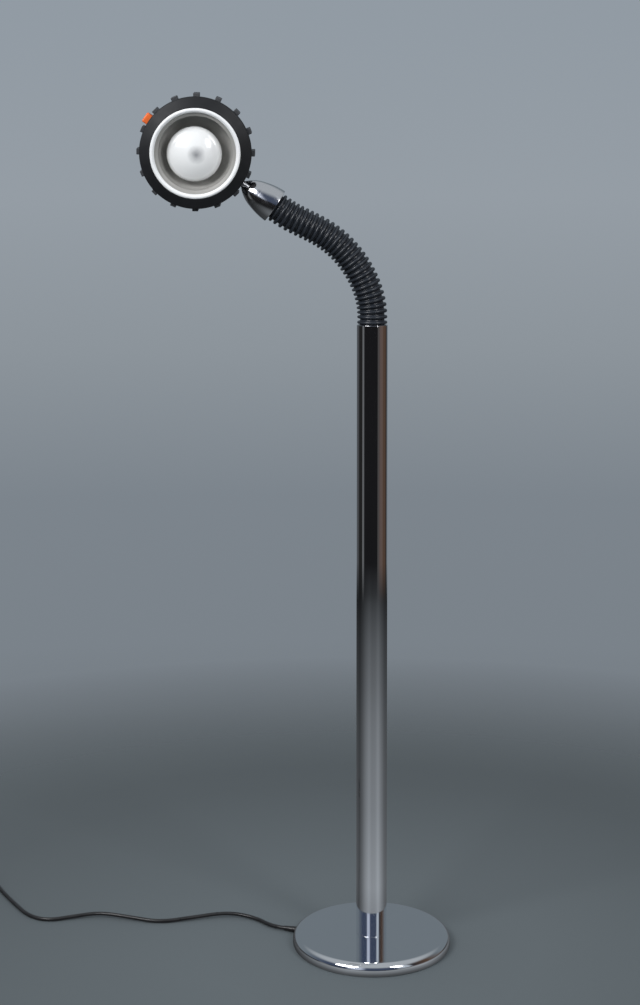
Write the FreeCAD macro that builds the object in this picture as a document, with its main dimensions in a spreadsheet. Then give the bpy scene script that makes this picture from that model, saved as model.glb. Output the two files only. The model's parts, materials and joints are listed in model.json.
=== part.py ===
import FreeCAD, Part
import math
import os

import Sketcher
from FreeCAD import Placement, Rotation, Vector

# A floor lamp for reading: a weighted disc base, a straight tube, a ribbed bending neck, a slotted
# swivel bell and a round spotlight head. Millimetres and degrees. Z is up, the origin is the middle
# of the base on the floor, the head leans to -X and shines to -Y.

doc = FreeCAD.newDocument("ReadingLamp")

SIZES = {
    # base
    "base_radius": 116.0,
    "base_height": 18.0,
    "base_edge_radius": 10.0,
    "base_skin": 1.2,
    "base_floor_gap": 0.8,
    "base_foot_level": 6.0,
    "base_turn_in": 1.4,
    "pad_thickness": 2.0,
    "pad_radius": 108.0,
    "weight_gap": 2.3,
    "weight_chamfer": 8.5,
    "bolt_radius": 6.0,
    "bolt_head_radius": 10.4,
    "bolt_head_height": 5.6,
    "bolt_length": 24.3,
    "washer_radius": 12.2,
    "washer_thickness": 1.5,
    "counterbore_radius": 13.0,
    "counterbore_depth": 7.8,
    # mains lead
    "cord_radius": 2.8,
    "cord_clearance": 0.05,
    "lead_level": 4.8,
    "lead_channel_width": 9.6,
    "lead_riser_offset": 14.5,
    "lead_hole_radius": 3.9,
    "lead_bend_radius": 22.4,
    "gland_heading": 162.0,
    "gland_neck_radius": 4.0,
    "gland_flange_radius": 4.5,
    "gland_relief_length": 20.0,
    "gland_tip_radius": 3.4,
    "coil_turns": 6.5,
    "coil_inner_radius": 22.0,
    "coil_pitch": 6.3,
    "coil_layer_step": 6.15,
    "plug_width": 35.3,
    "plug_thickness": 13.7,
    "plug_length": 34.0,
    "plug_relief_length": 20.0,
    "pin_radius": 2.0,
    "pin_length": 19.0,
    "pin_spacing": 18.6,
    # post
    "post_radius": 22.5,
    "post_wall": 1.5,
    "post_top_level": 918.0,
    "fit": 0.05,
    "foot_plug_height": 14.0,
    "bush_height": 29.3,
    "bush_recess": 0.7,
    "spindle_radius": 12.0,
    "clip_thickness": 1.4,
    "clip_reach": 3.0,
    "groove_depth": 1.0,
    # neck
    "segment_length": 23.8,
    "hinge_gap": 4.6,
    "rib_radius": 22.0,
    "rib_root_radius": 17.8,
    "rib_pitch": 7.3,
    "rib_tip_width": 3.2,
    "rib_root_width": 4.4,
    "sleeve_bore": 13.1,
    "joint_ball_radius": 10.0,
    "joint_clearance": 0.05,
    "joint_cup_wall": 2.85,
    "joint_neck_radius": 6.0,
    "joint_lip_angle": 53.0,
    "bend_heading": 185.66,
    "bend_1": 12.0,
    "bend_2": 10.0,
    "bend_3": 8.5,
    "bend_4": 8.0,
    "bend_5": 9.0,
    "bend_6": 9.5,
    "bend_7": 7.0,
    "bend_8": -0.5,
    "bend_9": -8.0,
    # swivel bell
    "bell_gap": 1.5,
    "bell_mouth_radius": 25.8,
    "bell_waist_radius": 20.6,
    "bell_waist_level": 30.0,
    "bell_length": 55.0,
    "bell_nose_radius": 5.5,
    "bell_body_curve": 105.0,
    "bell_nose_curve": 51.0,
    "bell_lip": 1.8,
    "plate_recess": 1.0,
    "plate_thickness": 4.0,
    "ball_radius": 18.5,
    "ball_level": 28.5,
    "stem_radius": 5.0,
    "stem_wall": 1.8,
    "slot_clearance": 0.3,
    "slot_heading": 113.6,
    "tilt_range": 43.5,
    "hub_radius": 7.0,
    # head
    "head_distance": 137.0,
    "head_roll": 8.0,
    "housing_radius": 75.0,
    "housing_wall": 2.5,
    "housing_front_level": 20.5,
    "housing_rear_level": 92.0,
    "shoulder_level": 35.0,
    "rear_radius": 42.0,
    "rear_opening_radius": 30.0,
    "rear_rim_height": 4.0,
    "cog_radius": 84.5,
    "cog_width": 8.7,
    "cog_front_level": 11.6,
    "cog_length": 26.0,
    "cog_count": 16.0,
    "ring_radius": 80.0,
    "ring_skirt_level": 12.0,
    "ring_edge_level": 21.0,
    "ring_front_level": 30.8,
    "ring_inner_radius": 64.7,
    "reflector_wall": 1.0,
    "bulb_radius": 39.6,
    "bulb_front_level": 26.0,
    "bulb_widest_level": 6.0,
    "bulb_shift_x": -0.4,
    "bulb_shift_y": -3.3,
    "glass_wall": 1.0,
    "holder_radius": 20.0,
    "head_lead_radius": 2.0,
    "nut_radius": 8.08,
    "nut_thickness": 3.0,
    "button_length": 14.0,
    "button_width": 15.0,
    "button_reach": 88.5,
    "button_clearance": 0.3,
    "button_travel": 2.5,
    "cap_radius": 38.0,
    "cap_depth": 15.8,
    "screw_radius": 1.5,
    "screw_head_radius": 2.8,
    "screw_head_height": 1.9,
}

sheet = doc.addObject("Spreadsheet::Sheet", "Sizes")
for row, (alias, number) in enumerate(SIZES.items(), start=1):
    sheet.set(f"A{row}", alias)
    sheet.set(f"B{row}", f"{number:g}")
    sheet.setAlias(f"B{row}", alias)
doc.recompute()


class Size:
    """A number kept together with the sheet formula that gives it."""

    def __init__(self, value, formula):
        self.value = value
        self.formula = formula

    def join(self, other, sign, value):
        return Size(value, f"({self.formula} {sign} {as_size(other).formula})")

    def __add__(self, other):
        return self.join(other, "+", self.value + as_size(other).value)

    def __sub__(self, other):
        return self.join(other, "-", self.value - as_size(other).value)

    def __mul__(self, other):
        return self.join(other, "*", self.value * as_size(other).value)

    def __truediv__(self, other):
        return self.join(other, "/", self.value / as_size(other).value)

    def __neg__(self):
        return Size(-self.value, f"(0 - {self.formula})")

    def __radd__(self, other):
        return as_size(other) + self

    def __rsub__(self, other):
        return as_size(other) - self

    def __rmul__(self, other):
        return as_size(other) * self

    def root(self):
        return Size(math.sqrt(self.value), f"sqrt({self.formula})")


def as_size(item):
    """A Size as it is, or a bare number as one."""
    return item if isinstance(item, Size) else Size(float(item), f"{float(item):g}")


def size(alias):
    """The named size, read from the sheet."""
    return Size(float(sheet.get(alias)), f"Sizes.{alias}")


def leg(radius, across):
    """The distance along the axis at which a ball of this radius is that far from the axis."""
    return (radius * radius - across * across).root()


def bind(thing, field, item):
    """Set a property from a Size and keep it tied to the sheet."""
    item = as_size(item)
    setattr(thing, field, item.value)
    thing.setExpression(field, item.formula)


def plane_of(body, role):
    """One of a body's own origin planes."""
    return next(f for f in body.Origin.OriginFeatures if f.Role == role)


def arc_between(start, end, radius):
    """The short arc from start to end. A positive radius turns left, a negative one turns right."""
    chord = end - start
    left = Vector(-chord.y, chord.x, 0).normalize()
    reach = math.sqrt(max(radius * radius - (chord.Length / 2) ** 2, 0.0))
    centre = (start + end) / 2 + left * math.copysign(reach, radius)
    first, last = (start, end) if radius > 0 else (end, start)
    angles = [math.atan2(p.y - centre.y, p.x - centre.x) for p in (first, last)]
    return Part.ArcOfCircle(Part.Circle(centre, Vector(0, 0, 1), abs(radius)), *angles)


def draw(sketch, outline):
    """Draw a closed outline. Each corner is (x, y) or (x, y, radius of the arc that leaves it)."""
    corners = [(as_size(c[0]), as_size(c[1]), c[2] if len(c) > 2 else None) for c in outline]
    ends = []
    for number, (x, y, bulge) in enumerate(corners):
        next_x, next_y, _ = corners[(number + 1) % len(corners)]
        start = Vector(x.value, y.value, 0)
        end = Vector(next_x.value, next_y.value, 0)
        if bulge is None:
            edge = sketch.addGeometry(Part.LineSegment(start, end), False)
            ends.append(((edge, 1), (edge, 2)))
            continue
        bulge = as_size(bulge)
        edge = sketch.addGeometry(arc_between(start, end, bulge.value), False)
        ends.append(((edge, 1), (edge, 2)) if bulge.value > 0 else ((edge, 2), (edge, 1)))
        length = bulge if bulge.value > 0 else -bulge
        index = sketch.addConstraint(Sketcher.Constraint("Radius", edge, length.value))
        sketch.setExpression(f"Constraints[{index}]", length.formula)
    for number, (x, y, _) in enumerate(corners):
        start, before = ends[number][0], ends[number - 1][1]
        sketch.addConstraint(Sketcher.Constraint("Coincident", *before, *start))
        for kind, axis, item in (("DistanceX", -2, x), ("DistanceY", -1, y)):
            if item.value == 0:
                sketch.addConstraint(Sketcher.Constraint("PointOnObject", *start, axis))
                continue
            index = sketch.addConstraint(Sketcher.Constraint(kind, -1, 1, *start, item.value))
            sketch.setExpression(f"Constraints[{index}]", item.formula)


def sketch_in(body, role, outline, name):
    """A sketch on one of the body's own planes."""
    sketch = body.newObject("Sketcher::SketchObject", name)
    sketch.AttachmentSupport = (plane_of(body, role), [""])
    sketch.MapMode = "FlatFace"
    draw(sketch, outline)
    return sketch


def turned(name, outline):
    """A body turned about Z from an outline of (radius, level) corners."""
    body = doc.addObject("PartDesign::Body", name)
    sketch = sketch_in(body, "XZ_Plane", outline, f"{name}_outline")
    spin = body.newObject("PartDesign::Revolution", f"{name}_turned")
    spin.Profile = sketch
    spin.ReferenceAxis = (sketch, ["V_Axis"])
    spin.Angle = 360
    return body


def padded(name, outline, length, role="XY_Plane", midplane=False):
    """A body of an outline pushed out along its plane's normal."""
    body = doc.addObject("PartDesign::Body", name)
    pad = body.newObject("PartDesign::Pad", f"{name}_pad")
    pad.Profile = sketch_in(body, role, outline, f"{name}_outline")
    bind(pad, "Length", length)
    pad.SideType = "Symmetric" if midplane else "One side"
    return body


def cylinder(name, radius, height, place=None):
    rod = doc.addObject("Part::Cylinder", name)
    bind(rod, "Radius", radius)
    bind(rod, "Height", height)
    rod.Placement = place or Placement()
    return rod


def block(name, sides, corner):
    """A box from its three sides and its lowest corner."""
    box = doc.addObject("Part::Box", name)
    for field, side in zip(("Length", "Width", "Height"), sides):
        bind(box, field, side)
    box.Placement = Placement(Vector(*[as_size(c).value for c in corner]), Rotation())
    return box


def fused(name, pieces):
    union = doc.addObject("Part::MultiFuse", name)
    union.Shapes = pieces
    return union


def cut(name, base, tools):
    """The base with all the tools taken away."""
    piece = doc.addObject("Part::Cut", name)
    piece.Base = base
    piece.Tool = tools[0] if len(tools) == 1 else fused(f"{name}_cuts", tools)
    return piece


def along(x, y, z):
    """A turn that takes Z to this direction."""
    return Rotation(Vector(0, 0, 1), Vector(x, y, z))


parts = {}


def keep(node, piece, frame=None):
    """Name a finished piece and put it where it belongs."""
    piece.Label = node
    if frame is not None:
        piece.Placement = frame
    parts[node] = piece


def keep_shape(node, shape, frame=None):
    """Keep a shape that was worked out here as a piece of its own."""
    piece = doc.addObject("Part::Feature", f"{node}_solid")
    piece.Shape = shape
    keep(node, piece, frame)


def copies(source, frames):
    """Separate solids of one piece at several places."""
    doc.recompute()
    return Part.makeCompound([source.Shape.transformed(f.toMatrix(), copy=True) for f in frames])


# ---------------------------------------------------------------- frames of the moving pieces

HINGES = 9


def chain_frames():
    """The frame of each neck segment: origin at its lower hinge, Z along it, Y along the hinge."""
    frame = Placement(
        Vector(0, 0, size("post_top_level").value),
        Rotation(Vector(0, 0, 1), size("bend_heading").value),
    )
    frames = [frame]
    step = Vector(0, 0, size("segment_length").value)
    for number in range(1, HINGES + 1):
        bend = Rotation(Vector(0, 1, 0), size(f"bend_{number}").value)
        frames.append(frames[-1] * Placement(step, bend))
    return frames


segment_frames = chain_frames()
mouth_level = size("segment_length") + size("bell_gap")
mouth_frame = segment_frames[-1] * Placement(Vector(0, 0, mouth_level.value), Rotation())
bell_frame = mouth_frame * Placement(Vector(), Rotation(Vector(0, 0, 1), size("slot_heading").value))
ball_frame = bell_frame * Placement(Vector(0, 0, size("ball_level").value), Rotation())

roll = math.radians(size("head_roll").value)
head_frame = mouth_frame * Placement(
    Vector(0, 0, size("head_distance").value),
    Rotation(
        Vector(0, 0, -1),
        Vector(-math.cos(roll), math.sin(roll), 0),
        Vector(math.sin(roll), math.cos(roll), 0),
        "ZXY",
    ),
)
bulb_frame = head_frame * Placement(
    Vector(size("bulb_shift_x").value, size("bulb_shift_y").value, 0), Rotation()
)
gland_frame = Placement(Vector(), Rotation(Vector(0, 0, 1), size("gland_heading").value))


# ---------------------------------------------------------------- cords and wound wires


def rounded_path(points, widest=None):
    """A wire of straight runs joined by tangent arcs, and the radius of each arc."""
    edges, radii = [], []
    last = points[0]
    for before, corner, after in zip(points, points[1:], points[2:]):
        arriving, leaving = corner - before, after - corner
        half_turn = arriving.getAngle(leaving) / 2
        trim = 0.45 * min(arriving.Length, leaving.Length)
        if widest:
            trim = min(trim, widest * math.tan(half_turn))
        radius = trim / math.tan(half_turn)
        start = corner - arriving.normalize() * trim
        end = corner + leaving.normalize() * trim
        inward = (start + end) / 2 - corner
        middle = corner + inward.normalize() * (radius / math.cos(half_turn) - radius)
        edges.append(Part.LineSegment(last, start).toShape())
        edges.append(Part.Arc(start, middle, end).toShape())
        radii.append(radius)
        last = end
    edges.append(Part.LineSegment(last, points[-1]).toShape())
    return Part.Wire(edges), radii


def tube_along(path, radius):
    """A round bar of this radius along a path."""
    first = path.Edges[0]
    start = first.valueAt(first.FirstParameter)
    tangent = first.tangentAt(first.FirstParameter)
    ring = Part.Wire(Part.makeCircle(radius, start, tangent))
    return path.makePipeShell([ring], True, False)


def cord_tube(name, points, radius, widest=None):
    """A cord along a route, with its figures printed."""
    path, radii = rounded_path([Vector(*p) for p in points], widest)
    tube = tube_along(path, radius)
    ideal = math.pi * radius**2 * path.Length
    print(f"{name}: length {path.Length:.1f}, least radius {min(radii):.1f}, "
          f"volume over section times length {tube.Volume / ideal:.5f}")
    return tube


def biarc(start, heading, end, arriving):
    """Two tangent arcs from one point and direction to another."""
    gap = end - start
    both = heading + arriving
    spread = 4 - both.dot(both)
    reach = (math.sqrt(gap.dot(both) ** 2 + spread * gap.dot(gap)) - gap.dot(both)) / spread
    corners = [start + heading * reach, end - arriving * reach]
    join = (corners[0] + corners[1]) / 2
    return [bend(start, corners[0], join), bend(join, corners[1], end)]


def bend(start, corner, end):
    """The arc from start to end whose tangents meet at the corner."""
    half_chord = (end - start) / 2
    outward = corner - (start + end) / 2
    half_turn = math.atan2(outward.Length, half_chord.Length)
    radius = half_chord.Length / math.sin(half_turn)
    top = (start + end) / 2 + outward.normalize() * radius * (1 - math.cos(half_turn))
    return Part.Arc(start, top, end).toShape()


def wound_path(point_at, turns, run_in, tail):
    """A path through quarter turns of a winding, with straight runs before and after it.

    The tail is a list of (distance along the last heading, rise) corners.
    """
    count = round(turns * 4)
    nudge = 1e-4
    points = [point_at(n / 4) for n in range(count + 1)]
    headings = [(point_at(n / 4 + nudge) - point_at(n / 4 - nudge)).normalize()
                for n in range(count + 1)]
    edges = [Part.LineSegment(points[0] - headings[0] * run_in, points[0]).toShape()]
    for n in range(count):
        edges += biarc(points[n], headings[n], points[n + 1], headings[n + 1])
    corners = [points[-1] + headings[-1] * along_run + Vector(0, 0, rise)
               for along_run, rise in tail]
    edges += rounded_path([points[-1], *corners])[0].Edges
    return Part.Wire(edges)


def least_gap(path, radius, step):
    """The least space between different turns of a wound tube, measured on points."""
    points = path.discretize(Distance=step)
    apart = int(math.pi * radius * 2 / step) + 1
    nearest = min(
        (a - b).Length for i, a in enumerate(points) for b in points[i + apart:]
    )
    return nearest - 2 * radius


# ---------------------------------------------------------------- base

pad_top = size("pad_thickness")
cover_top = size("base_height")
cover_ceiling = cover_top - size("base_skin")
bolt_hole = size("bolt_radius") + 0.3
counterbore_top = pad_top + size("counterbore_depth")


def make_base_pad():
    keep("base_pad", turned("base_pad", [
        (0, 0),
        (size("pad_radius"), 0),
        (size("pad_radius"), pad_top),
        (0, pad_top),
    ]))


def make_base_weight():
    """The iron disc, with a counterbore for the bolt and a channel for the lead."""
    outer = size("base_radius") - size("base_skin") - size("weight_gap")
    chamfer = size("weight_chamfer")
    disc = turned("weight_disc", [
        (size("counterbore_radius"), pad_top),
        (outer, pad_top),
        (outer, cover_ceiling - chamfer),
        (outer - chamfer, cover_ceiling),
        (bolt_hole, cover_ceiling),
        (bolt_hole, counterbore_top),
        (size("counterbore_radius"), counterbore_top),
    ])
    channel_top = size("lead_level") + size("lead_channel_width") / 2
    channel = block(
        "weight_channel",
        (size("base_radius") - size("counterbore_radius"), size("lead_channel_width"), channel_top),
        (size("counterbore_radius"), -size("lead_channel_width") / 2, 0),
    )
    riser = block(
        "weight_riser",
        (size("lead_bend_radius") * 0.78, size("lead_channel_width"), cover_top),
        (size("counterbore_radius"), -size("lead_channel_width") / 2, 0),
    )
    keep("base_weight", cut("base_weight", disc, [channel, riser]), gland_frame)


def make_base_cover():
    """The spun cover: flat top, rounded edge, and a skirt that turns in above the floor."""
    skin, edge = size("base_skin"), size("base_edge_radius")
    outer, turn_in = size("base_radius"), size("base_turn_in")
    drop = size("base_foot_level") - size("base_floor_gap")
    skirt_curve = (drop * drop + turn_in * turn_in) / (turn_in * 2)
    edge_level = cover_top - edge
    shell = turned("cover_shell", [
        (bolt_hole, cover_ceiling),
        (outer - edge, cover_ceiling, skin - edge),
        (outer - skin, edge_level),
        (outer - skin, size("base_foot_level"), -skirt_curve),
        (outer - skin - turn_in, size("base_floor_gap")),
        (outer - turn_in, size("base_floor_gap"), skirt_curve),
        (outer, size("base_foot_level")),
        (outer, edge_level, edge),
        (outer - edge, cover_top),
        (bolt_hole, cover_top),
    ])
    slot_radius = size("gland_neck_radius") + 0.1
    reach = size("base_edge_radius") * 2
    side = Placement(Vector((outer - reach).value, 0, size("lead_level").value), along(1, 0, 0))
    hole = cylinder("cover_gland_hole", slot_radius, reach * 2, side)
    notch = block("cover_gland_notch", (reach * 2, slot_radius * 2, size("lead_level")),
                  (outer - reach, -slot_radius, 0))
    lead_spot = Vector((size("lead_riser_offset") + 2.3).value, 0, 0)
    riser = cylinder("cover_riser", size("lead_hole_radius"), cover_top + 1,
                     Placement(lead_spot, Rotation()))
    keep("base_cover", cut("base_cover", shell, [hole, notch, riser]), gland_frame)


def make_base_bolt():
    head_level = counterbore_top - size("washer_thickness") - size("bolt_head_height")
    head = doc.addObject("Part::Prism", "bolt_head")
    head.Polygon = 6
    bind(head, "Circumradius", size("bolt_head_radius"))
    bind(head, "Height", size("bolt_head_height"))
    head.Placement = Placement(Vector(0, 0, head_level.value), Rotation())
    shank = cylinder("bolt_shank", size("bolt_radius"), size("bolt_length"),
                     Placement(Vector(0, 0, head_level.value), Rotation()))
    keep("base_bolt", fused("base_bolt", [head, shank]))
    keep("base_washer", turned("base_washer", [
        (bolt_hole, counterbore_top - size("washer_thickness")),
        (size("washer_radius"), counterbore_top - size("washer_thickness")),
        (size("washer_radius"), counterbore_top),
        (bolt_hole, counterbore_top),
    ]))


def make_lead_gland():
    """The lead's grip in the skirt, with a tapered relief outside."""
    bore = size("cord_radius") + size("cord_clearance")
    wall_in = size("base_radius") - size("base_skin") - size("base_turn_in")
    wall_out = size("base_radius") + 0.3
    relief_end = wall_out + size("gland_relief_length")
    inner = wall_in - 2.5
    gland = turned("lead_gland", [
        (bore, inner),
        (size("gland_flange_radius"), inner),
        (size("gland_flange_radius"), wall_in),
        (size("gland_neck_radius"), wall_in),
        (size("gland_neck_radius"), wall_out),
        (size("gland_flange_radius"), wall_out),
        (size("gland_flange_radius"), wall_out + 2),
        (size("gland_tip_radius"), relief_end),
        (bore, relief_end),
    ])
    level = Placement(Vector(0, 0, size("lead_level").value), along(1, 0, 0))
    keep("lead_gland", gland, gland_frame * level)
    return relief_end.value


# ---------------------------------------------------------------- post

post_bore = size("post_radius") - size("post_wall")
bush_top = size("post_top_level") - size("bush_recess")
bush_bottom = bush_top - size("bush_height")


def make_post():
    keep("post_tube", turned("post_tube", [
        (post_bore, cover_top),
        (size("post_radius"), cover_top),
        (size("post_radius"), size("post_top_level")),
        (post_bore, size("post_top_level")),
    ]))
    plug_radius = post_bore - size("fit")
    plug_top = cover_top + size("foot_plug_height")
    hole_top = plug_top - 3
    thread = size("bolt_radius") + size("fit")
    plug = turned("foot_plug_disc", [
        (thread, cover_top),
        (plug_radius, cover_top),
        (plug_radius, plug_top),
        (0, plug_top),
        (0, hole_top),
        (thread, hole_top),
    ])
    hole = size("lead_hole_radius")
    riser = block("foot_plug_riser", (hole * 3, hole * 2, plug_top + 1),
                  (size("lead_riser_offset") - hole + 0.9, -hole, 0))
    keep("post_foot_plug", cut("post_foot_plug", plug, [riser]), gland_frame)
    bore = size("spindle_radius") + size("fit")
    keep("post_top_bush", turned("post_top_bush", [
        (bore, bush_bottom),
        (plug_radius, bush_bottom),
        (plug_radius, bush_top),
        (bore, bush_top),
    ]))


# ---------------------------------------------------------------- neck

lead_bore = size("cord_radius") + 0.8
segment = size("segment_length")
ball = size("joint_ball_radius")
neck_radius = size("joint_neck_radius")
cup_inner = ball + size("joint_clearance")
cup_outer = cup_inner + size("joint_cup_wall")
lip = math.radians(size("joint_lip_angle").value)
collar_radius = size("sleeve_bore") - 0.2


def ball_end():
    """Corners of the ball at a segment's upper hinge, from its neck to its bore."""
    return [
        (neck_radius, segment - leg(ball, neck_radius), ball),
        (lead_bore, segment + leg(ball, lead_bore)),
    ]


def cup_start():
    """Corners of the cup round a segment's lower hinge, from its bore to its outer lip."""
    across, down = math.sin(lip), -math.cos(lip)
    return [
        (lead_bore, leg(cup_inner, lead_bore), -cup_inner),
        (cup_inner * across, cup_inner * down),
        (cup_outer * across, cup_outer * down, cup_outer),
    ]


def clip_ring(name, radius, level):
    """A retaining ring in its groove."""
    inner = radius - size("groove_depth") + size("fit")
    return turned(name, [
        (inner, level),
        (radius + size("clip_reach"), level),
        (radius + size("clip_reach"), level + size("clip_thickness") - 0.2),
        (inner, level + size("clip_thickness") - 0.2),
    ])


def make_lower_ferrule():
    """The spindle that turns in the post's bush and carries the first ball."""
    spindle, groove = size("spindle_radius"), size("spindle_radius") - size("groove_depth")
    bush_foot = bush_bottom - size("post_top_level")
    flange = bush_top - size("post_top_level") + 0.1
    groove_top = bush_foot - 0.1
    groove_foot = groove_top - size("clip_thickness")
    foot = groove_foot - 2.4
    ferrule = turned("neck_lower_ferrule", [
        (lead_bore, foot),
        (spindle, foot),
        (spindle, groove_foot),
        (groove, groove_foot),
        (groove, groove_top),
        (spindle, groove_top),
        (spindle, flange),
        (collar_radius + 3, flange),
        (collar_radius + 3, 2),
        (collar_radius, 2),
        (collar_radius, 9),
        (neck_radius, 12),
        *ball_end(),
    ])
    keep("neck_lower_ferrule", ferrule, segment_frames[0])
    clip = clip_ring("swivel_circlip", spindle, groove_foot + 0.1)
    keep("swivel_circlip", clip, segment_frames[0])


def make_links():
    for number in range(2, HINGES + 1):
        name = f"neck_link_{number:02d}"
        link = turned(name, [
            *cup_start(),
            (neck_radius, leg(cup_outer, neck_radius)),
            *ball_end(),
        ])
        keep(name, link, segment_frames[number - 1])


plate_foot = mouth_level + size("plate_recess")
plate_top = plate_foot + size("plate_thickness")


def make_upper_ferrule():
    """The last cup, with the spindle that the bell turns on."""
    hub, groove = size("hub_radius"), size("hub_radius") - size("groove_depth")
    groove_foot = plate_top + 0.05
    groove_top = groove_foot + size("clip_thickness")
    ferrule = turned("neck_upper_ferrule", [
        *cup_start(),
        (cup_outer, 0),
        (cup_outer, plate_foot - 0.2),
        (hub, plate_foot - 0.2),
        (hub, groove_foot),
        (groove, groove_foot),
        (groove, groove_top),
        (hub, groove_top),
        (hub, groove_top + 2),
        (lead_bore, groove_top + 2),
    ])
    keep("neck_upper_ferrule", ferrule, segment_frames[-1])
    clip = clip_ring("bell_circlip", hub, groove_foot + 0.1)
    keep("bell_circlip", clip, segment_frames[-1])


def sleeve_shape(foot, top, seat_radius, seat_level):
    """One length of the ribbed sleeve: three ribs on a steady axis, with its bore."""
    root, tip = size("rib_root_radius").value, size("rib_radius").value
    tip_half, root_half = size("rib_tip_width").value / 2, size("rib_root_width").value / 2
    circles = [(root, foot)]
    for step in (-1, 0, 1):
        middle = segment.value / 2 + step * size("rib_pitch").value
        circles += [
            (root, middle - root_half),
            (tip, middle - tip_half),
            (tip, middle + tip_half),
            (root, middle + root_half),
        ]
    circles.append((root, top))
    rings = [Part.Wire(Part.makeCircle(radius, Vector(0, 0, level))) for radius, level in circles]
    ribbed = Part.makeLoft(rings, True, True)
    bore = Part.makeCylinder(size("sleeve_bore").value, top + 2, Vector(0, 0, foot - 1))
    shape = ribbed.cut(bore)
    if seat_radius:
        shape = shape.cut(Part.makeCylinder(seat_radius, seat_level + 1, Vector(0, 0, -1)))
    return shape


def make_sleeves():
    half_gap = size("hinge_gap").value / 2
    for number in range(1, HINGES + 2):
        foot, top = half_gap, segment.value - half_gap
        seat = None
        if number == 1:
            foot, seat = 0.3, (collar_radius + 3.3).value
        if number == HINGES + 1:
            top = mouth_level.value - 0.3
        shape = sleeve_shape(foot, top, seat, 2.3)
        keep_shape(f"neck_sleeve_{number:02d}", shape, segment_frames[number - 1])


# ---------------------------------------------------------------- swivel bell

seat_radius = size("ball_radius") + size("fit")
bell_bore = seat_radius + 0.25
ball_level = size("ball_level")
bell_plate_foot = size("plate_recess")
bell_plate_top = bell_plate_foot + size("plate_thickness")


def make_bell():
    """The bell: a turned shell whose nose seats the ball, slotted for the stem to swing."""
    mouth_bore = size("bell_mouth_radius") - size("bell_lip")
    shell = turned("bell_shell", [
        (mouth_bore, 0),
        (size("bell_mouth_radius"), 0, size("bell_body_curve")),
        (size("bell_waist_radius"), size("bell_waist_level"), size("bell_nose_curve")),
        (size("bell_nose_radius"), size("bell_length")),
        (0, size("bell_length")),
        (0, ball_level + seat_radius, -seat_radius),
        (seat_radius, ball_level),
        (bell_bore, ball_level),
        (bell_bore, bell_plate_top),
        (mouth_bore, bell_plate_top),
    ])
    half_slot = size("stem_radius") + size("slot_clearance")
    reach = size("bell_length") - ball_level + 6
    centre = Vector(0, 0, ball_level.value)
    sector = doc.addObject("Part::Cylinder", "bell_slot_sector")
    bind(sector, "Radius", reach)
    bind(sector, "Height", half_slot * 2)
    bind(sector, "Angle", size("tilt_range"))
    sector.Placement = Placement(
        centre - Vector(0, half_slot.value, 0),
        Rotation(Vector(0, 0, 1), Vector(1, 0, 0), Vector(0, 1, 0), "ZXY"),
    )
    start = cylinder("bell_slot_start", half_slot, reach, Placement(centre, Rotation()))
    tilt = Rotation(Vector(0, 1, 0), size("tilt_range").value)
    end = cylinder("bell_slot_end", half_slot, reach, Placement(centre, tilt))
    keep("swivel_bell", cut("swivel_bell", shell, [sector, start, end]), bell_frame)

    hub_bore = size("hub_radius") + size("fit")
    plate_radius = mouth_bore - size("fit")
    keep("bell_back_plate", turned("bell_back_plate", [
        (hub_bore, bell_plate_foot),
        (plate_radius, bell_plate_foot),
        (plate_radius, bell_plate_top),
        (hub_bore, bell_plate_top),
    ]), bell_frame)


def make_bell_springs():
    """Four disc springs in two pairs that push the seat against the ball."""
    inner, outer, rise, thick = 10.4, bell_bore - 0.6, 1.1, 0.95
    cone = turned("disc_spring", [
        (inner, rise),
        (outer, 0),
        (outer, thick),
        (inner, rise + thick),
    ])
    pitch = rise + thick + 0.03
    flip = Rotation(Vector(1, 0, 0), 180)
    frames = []
    for number in range(4):
        foot = bell_plate_top.value + 0.03 + number * pitch
        if number % 2:
            frames.append(Placement(Vector(0, 0, foot + rise + thick), flip))
        else:
            frames.append(Placement(Vector(0, 0, foot), Rotation()))
    keep_shape("swivel_springs", copies(cone, frames), bell_frame)
    return bell_plate_top + 0.03 + 4 * pitch


def make_bell_seat(foot):
    """The ring behind the ball, hollowed to its sphere."""
    inner, top = size("ball_radius") * 0.675, ball_level - 9.5
    keep("swivel_seat", turned("swivel_seat", [
        (inner, foot),
        (seat_radius, foot),
        (seat_radius, top),
        (leg(seat_radius, ball_level - top), top, -seat_radius),
        (inner, ball_level - leg(seat_radius, inner)),
    ]), bell_frame)


stem_inner = size("stem_radius") - size("stem_wall")
nut_gap = 0.2


def make_ball():
    """The ball, bored for the stem and recessed for its nut."""
    radius = size("ball_radius")
    bore = size("stem_radius") + size("fit")
    recess, back, floor = size("nut_radius") + 1.1, 12.0, 2.5
    keep("swivel_ball", turned("swivel_ball", [
        (bore, -floor),
        (recess, -floor),
        (recess, -back),
        (leg(radius, as_size(back)), -back, radius),
        (bore, leg(radius, bore)),
    ]), ball_frame)
    return floor


boss_face = size("housing_radius") + 0.5
boss_back = size("housing_radius") - 4
stem_span = size("head_distance") - ball_level


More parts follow.
